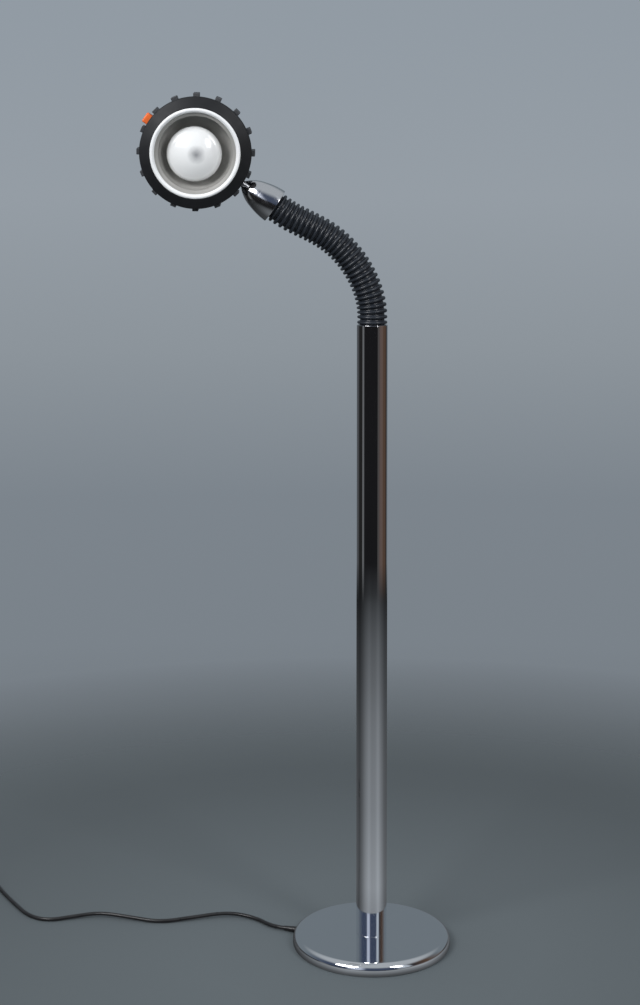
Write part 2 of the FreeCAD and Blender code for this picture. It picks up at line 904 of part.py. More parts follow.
def make_stem(recess_floor):
    """The hollow threaded stem and its three nuts."""
    foot, top = -8.0, stem_span - boss_back + 5
    keep("head_stem", turned("head_stem", [
        (stem_inner, foot),
        (size("stem_radius"), foot),
        (size("stem_radius"), top),
        (stem_inner, top),
    ]), ball_frame)
    hexagon = doc.addObject("Part::Prism", "nut_hexagon")
    hexagon.Polygon = 6
    bind(hexagon, "Circumradius", size("nut_radius"))
    bind(hexagon, "Height", size("nut_thickness"))
    bore = cylinder("nut_bore", size("stem_radius") + size("fit"), size("nut_thickness"))
    nut = cut("nut_blank", hexagon, [bore])
    thickness = size("nut_thickness").value
    levels = [
        -recess_floor - nut_gap - thickness,
        (stem_span - boss_face).value - thickness,
        (stem_span - boss_back).value,
    ]
    frames = [Placement(Vector(0, 0, level), Rotation()) for level in levels]
    keep_shape("stem_nuts", copies(nut, frames), ball_frame)


# ---------------------------------------------------------------- head casing

wall = size("housing_wall")
cog_pitch = 360 / size("cog_count").value


def curve_radius(across, down):
    """The radius of an arc that starts straight down and ends that far across and down."""
    return (across * across + down * down) / (across * 2)


def make_housing():
    """The casing: a drum with cogs, a domed back, a boss for the stem and a window."""
    outer, front = size("housing_radius"), size("housing_front_level")
    shoulder, rear = -size("shoulder_level"), -size("housing_rear_level")
    rim = size("rear_rim_height")
    dome = curve_radius(outer - size("rear_radius"), shoulder - rear - rim)
    rear_bore = size("rear_radius") - wall
    dome_end = shoulder - leg(dome - wall, rear_bore - outer + dome)
    body = turned("housing_shell", [
        (outer - wall, front),
        (outer - wall, shoulder, wall - dome),
        (rear_bore, dome_end),
        (rear_bore, rear + wall),
        (size("rear_opening_radius"), rear + wall),
        (size("rear_opening_radius"), rear),
        (size("rear_radius"), rear),
        (size("rear_radius"), rear + rim, dome),
        (outer, shoulder),
        (outer, front),
    ])
    half = size("cog_width") / 2
    root = outer - wall / 2
    cog = body.newObject("PartDesign::Pad", "cog")
    turn = math.radians(cog_pitch / 2)
    corners = [(root, -half), (size("cog_radius"), -half), (size("cog_radius"), half), (root, half)]
    cog.Profile = sketch_in(body, "XY_Plane", [
        (x * math.cos(turn) - y * math.sin(turn), x * math.sin(turn) + y * math.cos(turn))
        for x, y in corners
    ], "cog_outline")
    cog.SideType = "Two sides"
    bind(cog, "Length", size("cog_front_level"))
    bind(cog, "Length2", size("cog_length") - size("cog_front_level"))
    cogs = body.newObject("PartDesign::PolarPattern", "cogs")
    cogs.Originals = [cog]
    cogs.Axis = (cog.Profile[0], ["N_Axis"])
    cogs.Angle = 360
    cogs.Occurrences = round(size("cog_count").value)
    body.Tip = cogs

    boss = cylinder("housing_boss", size("nut_radius") + 1.9, boss_face - boss_back,
                    Placement(Vector(boss_back.value, 0, 0), along(1, 0, 0)))
    solid = fused("housing_solid", [body, boss])
    bore = cylinder("housing_stem_hole", size("stem_radius") + size("fit"), outer,
                    Placement(Vector(outer.value / 2, 0, 0), along(1, 0, 0)))
    gap = size("button_clearance")
    width, length = size("button_width") + gap * 2, size("button_length") + gap * 2
    window = block("housing_window", (outer / 2, width, length),
                   (-outer * 1.2, -width / 2, -length / 2))
    keep("head_housing", cut("head_housing", solid, [bore, window]), head_frame)


def make_front_ring():
    """The bezel: a short skirt round the casing and a shallow cone down to the reflector."""
    skirt = size("housing_radius") + 0.3
    edge, inner = size("ring_edge_level"), size("ring_inner_radius")
    keep("front_ring", turned("front_ring", [
        (skirt, size("ring_skirt_level")),
        (size("ring_radius"), size("ring_skirt_level")),
        (size("ring_radius"), edge),
        (inner, size("ring_front_level")),
        (inner, size("ring_front_level") - 3.3),
        (size("housing_radius") - wall, edge),
        (skirt, edge - 0.3),
    ]), head_frame)


def make_reflector():
    """The spun reflector: a rolled rim, a short step and the deep bowl."""
    rim = size("ring_inner_radius") - 0.3
    front = size("ring_front_level") - 0.6
    skin = size("reflector_wall")
    bowl_curve = 146.0
    keep("reflector", turned("reflector", [
        (rim, front - 3.2),
        (rim, front, 3.4),
        (rim - 5.8, front - 0.8),
        (rim - 11.2, front - 6, -bowl_curve),
        (24, -58),
        (skin + 24, -58.5, bowl_curve + 1),
        (rim - 11.2 + skin, front - 6.9),
        (rim - 5.0, front - 2.3),
    ]), head_frame)


CAP_SCREW_SPOTS = [
    Vector(30.5 * math.cos(angle), 30.5 * math.sin(angle), 0)
    for angle in (math.pi / 3, math.pi * 4 / 3)
]


def make_rear_cap():
    """The back cover, with cooling slots and two screw bosses, and its screws."""
    radius, depth = size("cap_radius"), size("cap_depth")
    front = -size("housing_rear_level") - 0.2
    back = front - depth
    body = turned("cap_shell", [
        (radius - wall, front),
        (radius, front),
        (radius, back + 5, -5),
        (radius - 5, back),
        (0, back),
        (0, back + wall),
        (radius - wall - 3.5, back + wall),
        (radius - wall, back + wall + 3.5),
    ])
    slot = body.newObject("PartDesign::Pocket", "cap_slot")
    slot.Profile = sketch_in(body, "XY_Plane", [(10, -1.6), (24, -1.6), (24, 1.6), (10, 1.6)],
                             "cap_slot_outline")
    slot.Type = "ThroughAll"
    slot.SideType = "Symmetric"
    slots = body.newObject("PartDesign::PolarPattern", "cap_slots")
    slots.Originals = [slot]
    slots.Axis = (slot.Profile[0], ["N_Axis"])
    slots.Angle = 360
    slots.Occurrences = 12
    body.Tip = slots

    screw = size("screw_radius")
    plate_back = front - 1.6
    bosses, holes = [], []
    for number, spot in enumerate(CAP_SCREW_SPOTS):
        lift = Placement(spot + Vector(0, 0, (back + 1).value), Rotation())
        bosses.append(cylinder(f"cap_boss_{number}", screw + 1.9, plate_back - back - 1.1, lift))
        under = Placement(spot + Vector(0, 0, (back - 1).value), Rotation())
        holes.append(cylinder(f"cap_hole_{number}", screw + size("fit"), depth + 2, under))
    solid = fused("cap_solid", [body, *bosses])
    keep("rear_cap", cut("rear_cap", solid, holes), head_frame)

    cap_screw = machine_screw("cap_screw", depth - 0.5)
    frames = [Placement(spot + Vector(0, 0, back.value), Rotation()) for spot in CAP_SCREW_SPOTS]
    keep_shape("rear_cap_screws", copies(cap_screw, frames), head_frame)


def machine_screw(name, length):
    """A pan-head screw whose head lies below level 0 and whose shank points up."""
    shank, head, height = size("screw_radius"), size("screw_head_radius"), size("screw_head_height")
    return turned(name, [
        (0, -height),
        (head - 0.6, -height),
        (head, 0.7 - height),
        (head, -0.03),
        (shank, -0.03),
        (shank, length),
        (0, length),
    ])


# ---------------------------------------------------------------- bulb and its holder

cap_front = -60.2
contact_level = -88.2


def make_bulb():
    """A reflector bulb: domed face, flared back and a screw cap with its contact."""
    widest, level = size("bulb_radius"), size("bulb_widest_level")
    front, glass = size("bulb_front_level"), size("glass_wall")
    corner_radius, corner_level = widest - 6.6, front - 10.5
    inner_radius, inner_level = corner_radius - 0.6, corner_level - glass * 0.8
    dome = curve_radius(front - corner_level, corner_radius)
    inner_dome = curve_radius(front - glass - inner_level, inner_radius)
    neck = 13.2
    keep("bulb_glass", turned("bulb_glass", [
        (neck - glass, cap_front + 0.2),
        (neck, cap_front + 0.2),
        (14.4, -44),
        (20, -32, 60),
        (widest, level, 11),
        (corner_radius, corner_level, dome),
        (0, front),
        (0, front - glass, -inner_dome),
        (inner_radius, inner_level, -11),
        (widest - glass, level, -60),
        (19.1, -31.5),
        (13.4, -43.8),
    ]), bulb_frame)

    thread, foil = 13.1, 0.6
    keep("bulb_cap", turned("bulb_cap", [
        (0, cap_front),
        (thread, cap_front),
        (thread, -84),
        (6.5, -86.8),
        (5.6, -86.8),
        (5.6, -86.3),
        (thread - foil, -83.6),
        (thread - foil, cap_front - foil),
        (0, cap_front - foil),
    ]), bulb_frame)
    keep("bulb_contact", turned("bulb_contact", [
        (0, -86.2),
        (5.3, -86.2),
        (5.3, -87),
        (3.5, contact_level),
        (0, contact_level),
    ]), bulb_frame)


holder_back = -101.0


def make_lampholder():
    """The holder's body, its threaded shell and its spring contact."""
    outer, mouth, bore, spigot = size("holder_radius"), 15.2, 14.2, 16.8
    plate_front = -size("housing_rear_level") + 0.1
    keep("lampholder_body", turned("lampholder_body", [
        (mouth, -50),
        (outer, -50),
        (outer, plate_front),
        (spigot, plate_front),
        (spigot, holder_back),
        (0, holder_back),
        (0, -92),
        (bore, -92),
        (bore, -61.5),
        (mouth, -61.5),
    ]), bulb_frame)
    keep("lampholder_shell", turned("lampholder_shell", [
        (13.3, -84),
        (bore - size("fit"), -84),
        (bore - size("fit"), -62),
        (13.3, -62),
    ]), bulb_frame)
    tongue = block("contact_tongue", (13, 8, 0.8), (-6, -4, contact_level - 1))
    foot = block("contact_foot", (0.8, 8, 4), (6.2, -4, -91.9))
    keep("lampholder_contact", fused("lampholder_contact", [tongue, foot]), bulb_frame)
    return spigot


def make_bracket(spigot):
    """The plate that carries the holder on the casing's rear flange, and its screws."""
    front = -size("housing_rear_level") - 0.1
    thick = 1.5
    disc = turned("bracket_disc", [
        (5, front - thick),
        (size("cap_radius") - wall - 0.5, front - thick),
        (size("cap_radius") - wall - 0.5, front),
        (5, front),
    ])
    shift = Vector(size("bulb_shift_x").value, size("bulb_shift_y").value, 0)
    under = Vector(0, 0, (front - thick).value - 1)
    middle = cylinder("bracket_hole", spigot + size("fit"), thick + 2,
                      Placement(shift + under, Rotation()))
    places = [Vector(0, side * 32.6, 0) for side in (-1, 1)]
    holes = [
        cylinder(f"bracket_screw_hole_{n}", size("screw_radius") + size("fit"), thick + 2,
                 Placement(spot + under, Rotation()))
        for n, spot in enumerate([*places, *CAP_SCREW_SPOTS])
    ]
    keep("lampholder_bracket", cut("lampholder_bracket", disc, [middle, *holes]), head_frame)

    screw = machine_screw("bracket_screw", 1.45)
    frames = [Placement(spot + Vector(0, 0, (front - thick).value), Rotation()) for spot in places]
    keep_shape("bracket_screws", copies(screw, frames), head_frame)


# ---------------------------------------------------------------- switch


def make_switch():
    """The push button, the switch behind it and the spring that returns the button."""
    reach, inside = size("button_reach"), size("housing_radius") - wall
    width, length = size("button_width"), size("button_length")
    flange_face, flange_back = inside - 1, inside - 3
    body_face = flange_back - size("button_travel") - 0.5
    body_back = body_face - 10.7
    hole, plunger = 4.2, 3.6
    pit = body_face - 8

    head = block("button_head", (reach - flange_face, width, length),
                 (-reach, -width / 2, -length / 2))
    flange = block("button_flange", (flange_face - flange_back, width + 3, length + 3),
                   (-flange_face, -(width + 3) / 2, -(length + 3) / 2))
    rod = cylinder("button_rod", plunger, flange_back - body_face + 2.5,
                   Placement(Vector(-flange_back.value, 0, 0), along(1, 0, 0)))
    keep("switch_button", fused("switch_button", [head, flange, rod]), head_frame)

    cheek = (width + 3) / 2 + 1
    block_half = cheek + 2.5
    main = block("switch_block", (body_face - body_back, block_half * 2, 20),
                 (-body_face, -block_half, -12))
    cheeks = [
        block(f"switch_cheek_{n}", (inside - 1.5 - body_face, 2.5, 20),
              (-(inside - 1.5), near, -12))
        for n, near in enumerate((-block_half, cheek))
    ]
    solid = fused("switch_solid", [main, *cheeks])
    well = cylinder("switch_well", hole, 8,
                    Placement(Vector(-body_face.value, 0, 0), along(1, 0, 0)))
    keep("switch_body", cut("switch_body", solid, [well]), head_frame)

    wire, mean, turns = 0.35, 3.0, 4
    rod_end = flange_back - (flange_back - body_face + 2.5)
    span = (rod_end - pit).value - 2 * wire - 0.2
    rise = span / turns

    def spring_point(turn):
        angle = 2 * math.pi * turn
        return Vector(rise * turn, mean * math.cos(angle), mean * math.sin(angle))

    path = wound_path(spring_point, turns, 0.7, [(0.7, 0)])
    print(f"switch_spring: least gap {least_gap(path, wire, 0.2):.2f}")
    start = Placement(Vector(-rod_end.value + wire + 0.1, 0, 0), Rotation())
    keep_shape("switch_spring", tube_along(path, wire), head_frame * start)


# ---------------------------------------------------------------- the lead and its plug

cord = size("cord_radius").value
rest_level = cord + 0.05


def make_inner_lead(gland_tip):
    """The lead from the gland, through the base and the post, to the neck's spindle."""
    offset, level = size("lead_riser_offset").value, size("lead_level").value
    top = (bush_bottom - 25).value
    path = [
        (gland_tip, 0, level),
        (offset, 0, level),
        (offset, 0, 150),
        (0, 0, 220),
        (0, 0, top + 45),
    ]
    shape = cord_tube("mains_lead_inner", path, cord, size("lead_bend_radius").value)
    keep_shape("mains_lead_inner", shape, gland_frame)


ROUTE = [
    (-173.2, 81.6, 3.4),
    (-216.0, 92.5, 8.0),
    (-274.0, 80.0, 4.5),
    (-320.0, 67.5, 2.9),
    (-368.0, 80.5, 5.5),
    (-414.0, 92.0, 7.5),
    (-453.0, 86.0, 4.0),
    (-492.0, 73.5, 2.9),
    (-524.0, 92.0, 2.9),
    (-549.0, 131.0, 2.9),
]
FIRST_RUN = 20.0
LAST_RUN = 64.0
COIL_ENTRY = (-612.0, 246.0)
COIL_ENTRY_HEADING = 117.0


def coil_point(turn):
    """A point of the coil: it spirals in on the floor, climbs at its middle and spirals out."""
    middle, pitch = size("coil_turns").value / 2, size("coil_pitch").value
    inner = size("coil_inner_radius").value
    outer = inner + middle * pitch
    heading = math.radians(COIL_ENTRY_HEADING)
    centre = Vector(*COIL_ENTRY, 0) - Vector(math.sin(heading), -math.cos(heading), 0) * outer
    radius = inner + pitch * abs(turn - middle)
    climb = min(max((turn - middle) * 2 + 0.5, 0.0), 1.0)
    climb = climb * climb * (3 - 2 * climb)
    angle = heading - math.pi / 2 + 2 * math.pi * turn
    level = rest_level + size("coil_layer_step").value * climb
    return centre + Vector(radius * math.cos(angle), radius * math.sin(angle), level)


def make_cord(gland_tip):
    """The lead that lies free, its coil and the plug beside the coil."""
    start, first_corner = (
        gland_frame.multVec(Vector(gland_tip + run, 0, size("lead_level").value))
        for run in (0.0, FIRST_RUN)
    )
    turns = size("coil_turns").value
    drop = size("plug_thickness").value / 2 + 0.05 - coil_point(turns).z
    tail = [(8, 0), (30, drop), (44, drop)]
    path = wound_path(coil_point, turns, 2 * cord, tail)
    first, last = path.Edges[0], path.Edges[-1]
    entry = first.valueAt(first.FirstParameter)
    last_corner = entry - first.tangentAt(first.FirstParameter) * LAST_RUN
    points = [start, first_corner, *ROUTE, last_corner, entry]
    shape = cord_tube("mains_lead_run", points, cord)
    keep_shape("mains_lead_run", shape)

    coil = tube_along(path, cord)
    print(f"mains_lead_coil: length {path.Length:.1f}, least gap {least_gap(path, cord, 2.0):.2f}, "
          f"volume over section times length {coil.Volume / (math.pi * cord**2 * path.Length):.5f}")
    keep_shape("mains_lead_coil", coil)

    end = last.valueAt(last.LastParameter)
    heading = last.tangentAt(last.LastParameter)
    across = Vector(-heading.y, heading.x, 0).normalize()
    frame = Placement(end, Rotation(heading, across, heading.cross(across), "XYZ"))
    make_plug(frame)


def make_plug(frame):
    """A flat two-pin plug: X runs from the lead to the pins."""
    relief, length = size("plug_relief_length"), size("plug_length")
    half, face = size("plug_width") / 2, relief + length
    outline = [
        (relief, half * -0.5),
        (relief + length * 0.25, half * -0.8),
        (face, -half),
        (face, half),
        (relief + length * 0.25, half * 0.8),
        (relief, half * 0.5),
    ]
    flat = padded("plug_flat", outline, size("plug_thickness"), midplane=True)
    taper = doc.addObject("Part::Cone", "plug_relief")
    bind(taper, "Radius1", size("cord_radius") + 0.8)
    bind(taper, "Radius2", size("cord_radius") + 2.4)
    bind(taper, "Height", relief + 2)
    taper.Placement = Placement(Vector(), along(1, 0, 0))
    keep("plug_body", fused("plug_body", [flat, taper]), frame)

    pin = cylinder("plug_pin", size("pin_radius"), size("pin_length"))
    spacing = size("pin_spacing").value / 2
    frames = [Placement(Vector(face.value, side * spacing, 0), along(1, 0, 0)) for side in (-1, 1)]
    keep_shape("plug_pins", copies(pin, frames), frame)


def make_head_lead():
    """The thinner lead inside the head, from the stem to the side of the lampholder."""
    start = (boss_back - 2).value
    end = (size("holder_radius") + size("bulb_shift_x") + 0.1).value
    path = [
        (start, 0, 0),
        (54, 0, 0),
        (54, 0, -38),
        (40, 0, -80),
        (end, 0, -80),
    ]
    shape = cord_tube("head_lead", path, size("head_lead_radius").value, widest=14.5)
    keep_shape("head_lead", shape, head_frame)


# ---------------------------------------------------------------- assembly

make_base_pad()
make_base_weight()
make_base_cover()
make_base_bolt()
gland_tip = make_lead_gland()
make_post()
make_lower_ferrule()
make_links()
make_upper_ferrule()
make_sleeves()
make_bell()
make_bell_seat(make_bell_springs())
make_stem(make_ball())
make_housing()
make_front_ring()
make_reflector()
make_rear_cap()
make_bulb()
holder_spigot = make_lampholder()
make_bracket(holder_spigot)
make_switch()
make_head_lead()
make_inner_lead(gland_tip)
make_cord(gland_tip)

doc.recompute()
failed = [o.Name for o in doc.Objects if "Invalid" in o.State or "Error" in o.State]
failed += [n for n, p in parts.items() if p.Shape.isNull() or not p.Shape.isValid()]
if failed:
    raise RuntimeError(f"these did not build: {failed}")

os.makedirs("parts", exist_ok=True)
for node, piece in parts.items():
    piece.Shape.exportStep(f"parts/{node}.step")

for number, frame in enumerate(segment_frames):
    print(f"segment {number + 1}: {tuple(round(v, 4) for v in frame.Base)}")
for name, frame in (("bell", bell_frame), ("ball", ball_frame), ("head", head_frame)):
    axes = [frame.Rotation.multVec(v) for v in (Vector(1, 0, 0), Vector(0, 1, 0), Vector(0, 0, 1))]
    print(name, tuple(round(v, 4) for v in frame.Base), [[round(c, 6) for c in a] for a in axes])
print(f"{len(parts)} nodes")
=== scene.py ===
"""The looks of a reading lamp: bright disc and post, ribbed neck, slotted bell, spotlight."""
import json
import logging
import math
from dataclasses import dataclass, field
from enum import Enum

import bmesh
import bpy
import numpy as np
from mathutils import Matrix, Vector


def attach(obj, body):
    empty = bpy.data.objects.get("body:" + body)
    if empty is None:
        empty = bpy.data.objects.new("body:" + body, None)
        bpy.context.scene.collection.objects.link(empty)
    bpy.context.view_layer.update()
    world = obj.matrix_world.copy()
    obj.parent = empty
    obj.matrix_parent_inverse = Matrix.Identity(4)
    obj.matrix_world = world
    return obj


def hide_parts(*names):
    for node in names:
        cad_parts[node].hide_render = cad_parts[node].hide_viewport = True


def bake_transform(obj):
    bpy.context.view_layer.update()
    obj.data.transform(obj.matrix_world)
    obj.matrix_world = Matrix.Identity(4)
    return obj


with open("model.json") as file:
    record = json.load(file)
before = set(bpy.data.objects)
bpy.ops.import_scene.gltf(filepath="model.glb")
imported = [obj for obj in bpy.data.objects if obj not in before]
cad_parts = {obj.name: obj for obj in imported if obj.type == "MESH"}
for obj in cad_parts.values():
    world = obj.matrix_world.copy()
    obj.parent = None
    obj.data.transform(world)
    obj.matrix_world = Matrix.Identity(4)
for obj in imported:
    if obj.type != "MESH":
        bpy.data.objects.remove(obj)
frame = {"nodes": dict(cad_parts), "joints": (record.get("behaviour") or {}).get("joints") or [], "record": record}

LOG = logging.getLogger("lamp")
MM = 0.001
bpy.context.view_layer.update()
JOINTS = {joint["name"]: joint for joint in frame["joints"]}
SLOT_OF = {part["node"]: part["material_slot"] for part in frame["record"]["subparts"]}
Array = np.ndarray
Corner = tuple[float, ...]
Colour = tuple[float, float, float]
Socket = bpy.types.NodeSocket
Value = Socket | Colour | float


# ------------------------------------------------------------------ places


@dataclass(frozen=True)
class Stand:
    """A place in the lamp's frame with three square directions."""

    origin: Array
    axes: Array

    def points(self, local: Array) -> Array:
        """Take local points in millimetres to the lamp's frame in metres.

        Args:
            local: points as an array whose last axis is X, Y, Z.

        Returns:
            The same points, turned onto the stand's directions and moved to its origin.
        """
        return self.origin + (local * MM) @ self.axes

    def moved(self, x: float = 0.0, y: float = 0.0, z: float = 0.0) -> "Stand":
        """Return the same stand with its origin at a local point in millimetres."""
        return Stand(self.points(np.array([x, y, z])), self.axes)

    def spun(self, degrees: float) -> "Stand":
        """Return the stand turned about its own Z."""
        c, s = math.cos(math.radians(degrees)), math.sin(math.radians(degrees))
        turn = np.array([[c, s, 0], [-s, c, 0], [0, 0, 1]])
        return Stand(self.origin, turn @ self.axes)

    def facing(self, direction: Array) -> "Stand":
        """Return a stand at the same origin whose Z is a local direction."""
        z = direction / np.linalg.norm(direction)
        helper = np.array([0.0, 0.0, 1.0]) if abs(z[2]) < 0.9 else np.array([1.0, 0.0, 0.0])
        x = np.cross(helper, z)
        x = x / np.linalg.norm(x)
        return Stand(self.origin, np.array([x, np.cross(z, x), z]) @ self.axes)


def joint_point(name: str) -> Array:
    """Return where a joint turns, in metres."""
    return np.array(JOINTS[name]["pos_m"], float)


def joint_axis(name: str) -> Array:
    """Return a joint's direction, one long."""
    axis = np.array(JOINTS[name]["axis"], float)
    return axis / np.linalg.norm(axis)


GLAND_HEADING = 162.0  # degrees from X: the way that the lead leaves the base
SEGMENT = 23.8  # millimetres from one hinge of the neck to the next
BALL_LEVEL = 28.5  # millimetres from the bell's mouth to the ball's middle
HEAD_DISTANCE = 137.0  # millimetres from the bell's mouth to the head's middle
HEAD_ROLL = 8.0  # degrees that the head is turned on its stem
BULB_SHIFT = (-0.4, -3.3)  # millimetres that the bulb sits off the head's axis
SHARP_TURN = 14.0  # degrees past which an outline's corner gets a round
LONG_SIDE = 1.2  # millimetres past which an outline's side gets points near its ends
END_STEP = 0.12  # millimetres from a side's end to such a point
MERGED = 2e-7  # metres within which two points are one
HINGES = ["neck_bend_low", "neck_bend_2", "neck_bend_3", "neck_bend_4", "neck_bend_high",
          "neck_bend_6", "neck_bend_7", "neck_bend_8", "neck_bend_9"]
SEGMENTS = ["swivel"] + [f"segment_{number:02d}" for number in range(2, 11)]

WORLD = Stand(np.zeros(3), np.eye(3))
GLAND = WORLD.spun(GLAND_HEADING)
STEM = joint_axis("bell_turn")
HINGE_AXIS = joint_axis("neck_bend_low")
BELL = Stand(joint_point("bell_turn"),
             np.array([np.cross(joint_axis("head_tilt"), STEM), joint_axis("head_tilt"), STEM]))


def head_stand() -> Stand:
    """Return the head's stand: X to the bell, Z out of the lamp's mouth."""
    across = np.cross(HINGE_AXIS, STEM)
    turn = math.radians(HEAD_ROLL)
    z = math.sin(turn) * across + math.cos(turn) * HINGE_AXIS
    return Stand(BELL.origin + STEM * HEAD_DISTANCE * MM, np.array([-STEM, np.cross(z, -STEM), z]))


HEAD = head_stand()
BULB = HEAD.moved(*BULB_SHIFT)


# ------------------------------------------------------------------ surfaces


def grid_faces(rows: int, columns: int, close_rows: bool, close_columns: bool) -> Array:
    """Return the four-cornered faces of a grid of points, as rows of point numbers."""
    down = np.arange(rows if close_rows else rows - 1)
    across = np.arange(columns if close_columns else columns - 1)
    i, j = np.meshgrid(down, across, indexing="ij")
    i2, j2 = (i + 1) % rows, (j + 1) % columns
    corners = [i * columns + j, i * columns + j2, i2 * columns + j2, i2 * columns + j]
    return np.stack(corners, -1).reshape(-1, 4)


def mesh_piece(name: str, points: Array, faces: Array) -> bpy.types.Object:
    """Make an object of points and faces, with its double points merged and its faces outwards.

    Args:
        name: the object's name.
        points: points in metres, as rows.
        faces: rows of point numbers.

    Returns:
        The new object, at the origin, shaded smooth.
    """
    mesh = bpy.data.meshes.new(name)
    mesh.from_pydata(points.reshape(-1, 3).tolist(), [], faces.tolist())
    shape = bmesh.new()
    shape.from_mesh(mesh)
    bmesh.ops.remove_doubles(shape, verts=shape.verts, dist=MERGED)
    bmesh.ops.holes_fill(shape, edges=shape.edges, sides=0)
    bmesh.ops.recalc_face_normals(shape, faces=shape.faces)
    for face in shape.faces:
        face.smooth = True
    shape.to_mesh(mesh)
    shape.free()
    piece = bpy.data.objects.new(name, mesh)
    bpy.context.scene.collection.objects.link(piece)
    return piece


def arc_points(start: Array, end: Array, radius: float, fineness: float) -> Array:
    """Return the points inside the short arc from start to end.

    The centre lies left of the chord for a positive radius and right of it for a negative one, at
    the distance that makes both ends one radius away. Points are evenly spaced in angle.
    """
    chord = end - start
    length = np.linalg.norm(chord)
    left = np.array([-chord[1], chord[0]]) / length
    reach = math.sqrt(max(radius * radius - length * length / 4, 0.0))
    centre = (start + end) / 2 + left * math.copysign(reach, radius)
    first = math.atan2(start[1] - centre[1], start[0] - centre[0])
    sweep = 2 * math.asin(min(length / 2 / abs(radius), 1.0)) * (1 if radius > 0 else -1)
    count = max(2, int(abs(sweep) / math.radians(fineness)) + 1)
    angles = first + sweep * np.arange(1, count) / count
    return centre + abs(radius) * np.stack([np.cos(angles), np.sin(angles)], -1)


def outline(corners: list[Corner], soften: float, fineness: float = 4.0) -> tuple[Array, bool]:
    """Turn an outline's corners into points along it, with small rounds at the sharp corners.

    Each corner is (radius, level), or (radius, level, radius of the arc that leaves it). A sharp
    corner becomes a short curve whose ends lie one softening, or two fifths of the shorter side,
    from it. Long straight sides get a point close to each end, which keeps them flat in the light.

    Args:
        corners: the closed outline's corners, in millimetres.
        soften: how far from a sharp corner its round starts, in millimetres.
        fineness: degrees of an arc from one point to the next.

    Returns:
        The points, and whether the outline is closed, which it isn't where it ends on the axis.
    """
    count = len(corners)
    start = next((i for i in range(count)
                  if corners[i][0] == 0 and corners[i - 1][0] == 0), None)
    order = [corners[((start or 0) + i) % count] for i in range(count)]
    closed = start is None
    flat, sharp = [], []
    for number, corner in enumerate(order):
        here = np.array(corner[:2], float)
        flat.append(here[None])
        sharp.append(corner[0] > 0)
        if len(corner) > 2 and (closed or number < count - 1):
            after = np.array(order[(number + 1) % count][:2], float)
            inner = arc_points(here, after, corner[2], fineness)
            flat.append(inner)
            sharp += [False] * len(inner)
    points = np.concatenate(flat)
    before, after = np.roll(points, 1, 0), np.roll(points, -1, 0)
    into, out = points - before, after - points
    near, far = np.linalg.norm(into, axis=1), np.linalg.norm(out, axis=1)
    into, out = into / near[:, None], out / far[:, None]
    turned = np.degrees(np.arccos(np.clip((into * out).sum(1), -1, 1)))
    rounds = np.array(sharp) & (turned > SHARP_TURN)
    if not closed:
        rounds[[0, -1]] = False
    trim = np.minimum(soften, 0.4 * np.minimum(near, far))[:, None]
    share = np.linspace(0, 1, 6)[:, None, None]
    bends = ((1 - share) ** 2 * (points - into * trim) + 2 * share * (1 - share) * points
             + share**2 * (points + out * trim))
    pieces = [bends[:, i] if rounds[i] else points[i:i + 1] for i in range(len(points))]
    line = np.concatenate(pieces)
    gaps = np.roll(line, -1, 0) - line
    if not closed:
        gaps[-1] = 0
    lengths = np.linalg.norm(gaps, axis=1)
    step = END_STEP * gaps / np.maximum(lengths, 1e-9)[:, None]
    nearly = np.stack([line, line + step, line + gaps - step], axis=1)
    extra = [nearly[i] if lengths[i] > LONG_SIDE else line[i:i + 1] for i in range(len(line))]
    return np.concatenate(extra), closed


def turned_grid(line: Array, segments: int) -> Array:
    """Carry an outline round Z: X is radius times cosine, Y radius times sine, Z the level."""
    angles = np.arange(segments) * 2 * np.pi / segments
    around = np.stack([np.cos(angles), np.sin(angles)], -1)
    grid = np.empty((len(line), segments, 3))
    grid[..., :2] = line[:, None, :1] * around[None]
    grid[..., 2] = line[:, 1:]
    return grid


def turned(name: str, corners: list[Corner], stand: Stand, segments: int = 128,
           soften: float = 0.3, fineness: float = 4.0) -> bpy.types.Object:
    """Make a piece by turning an outline about its stand's Z.

    Args:
        name: the piece's name.
        corners: the outline, as for outline().
        stand: where the piece stands.
        segments: steps round the axis.
        soften: how much sharp corners are rounded, in millimetres.
        fineness: degrees of an arc from one point to the next.

    Returns:
        The piece.
    """
    line, closed = outline(corners, soften, fineness)
    grid = turned_grid(line, segments)
    faces = grid_faces(len(line), segments, closed, True)
    return mesh_piece(name, stand.points(grid), faces)


def block_grid(size: tuple[float, float, float], radius: float, steps: int = 4) -> Array:
    """Return the points of a box with rounded edges, round its own middle.

    A ball of the edge's radius is cut in eight, and each part is pushed out to its own corner of
    the box, so that flats open up between them.
    """
    quarter = np.linspace(0, np.pi / 2, steps + 1)
    turns = (np.arange(4)[:, None] * np.pi / 2 + quarter).ravel()
    signs_x = np.repeat([1, -1, -1, 1], steps + 1)
    signs_y = np.repeat([1, 1, -1, -1], steps + 1)
    rises = np.concatenate([quarter - np.pi / 2, quarter])
    signs_z = np.repeat([-1, 1], steps + 1)
    inner = np.array(size) / 2 - radius
    rise, turn = np.meshgrid(rises, turns, indexing="ij")
    x = radius * np.cos(rise) * np.cos(turn) + inner[0] * signs_x
    y = radius * np.cos(rise) * np.sin(turn) + inner[1] * signs_y
    z = radius * np.sin(rise) + inner[2] * signs_z[:, None]
    return np.stack([x, y, z], -1)


def rounded_blocks(name: str, size: tuple[float, float, float], radius: float,
                   stands: list[Stand], steps: int = 4) -> bpy.types.Object:
    """Make one piece of equal rounded boxes, one round each stand's origin."""
    grid = block_grid(size, radius, steps)
    rows, columns = grid.shape[:2]
    faces = grid_faces(rows, columns, False, True)
    points = np.concatenate([stand.points(grid).reshape(-1, 3) for stand in stands])
    every = np.concatenate([faces + i * rows * columns for i in range(len(stands))])
    return weighted(mesh_piece(name, points, every))


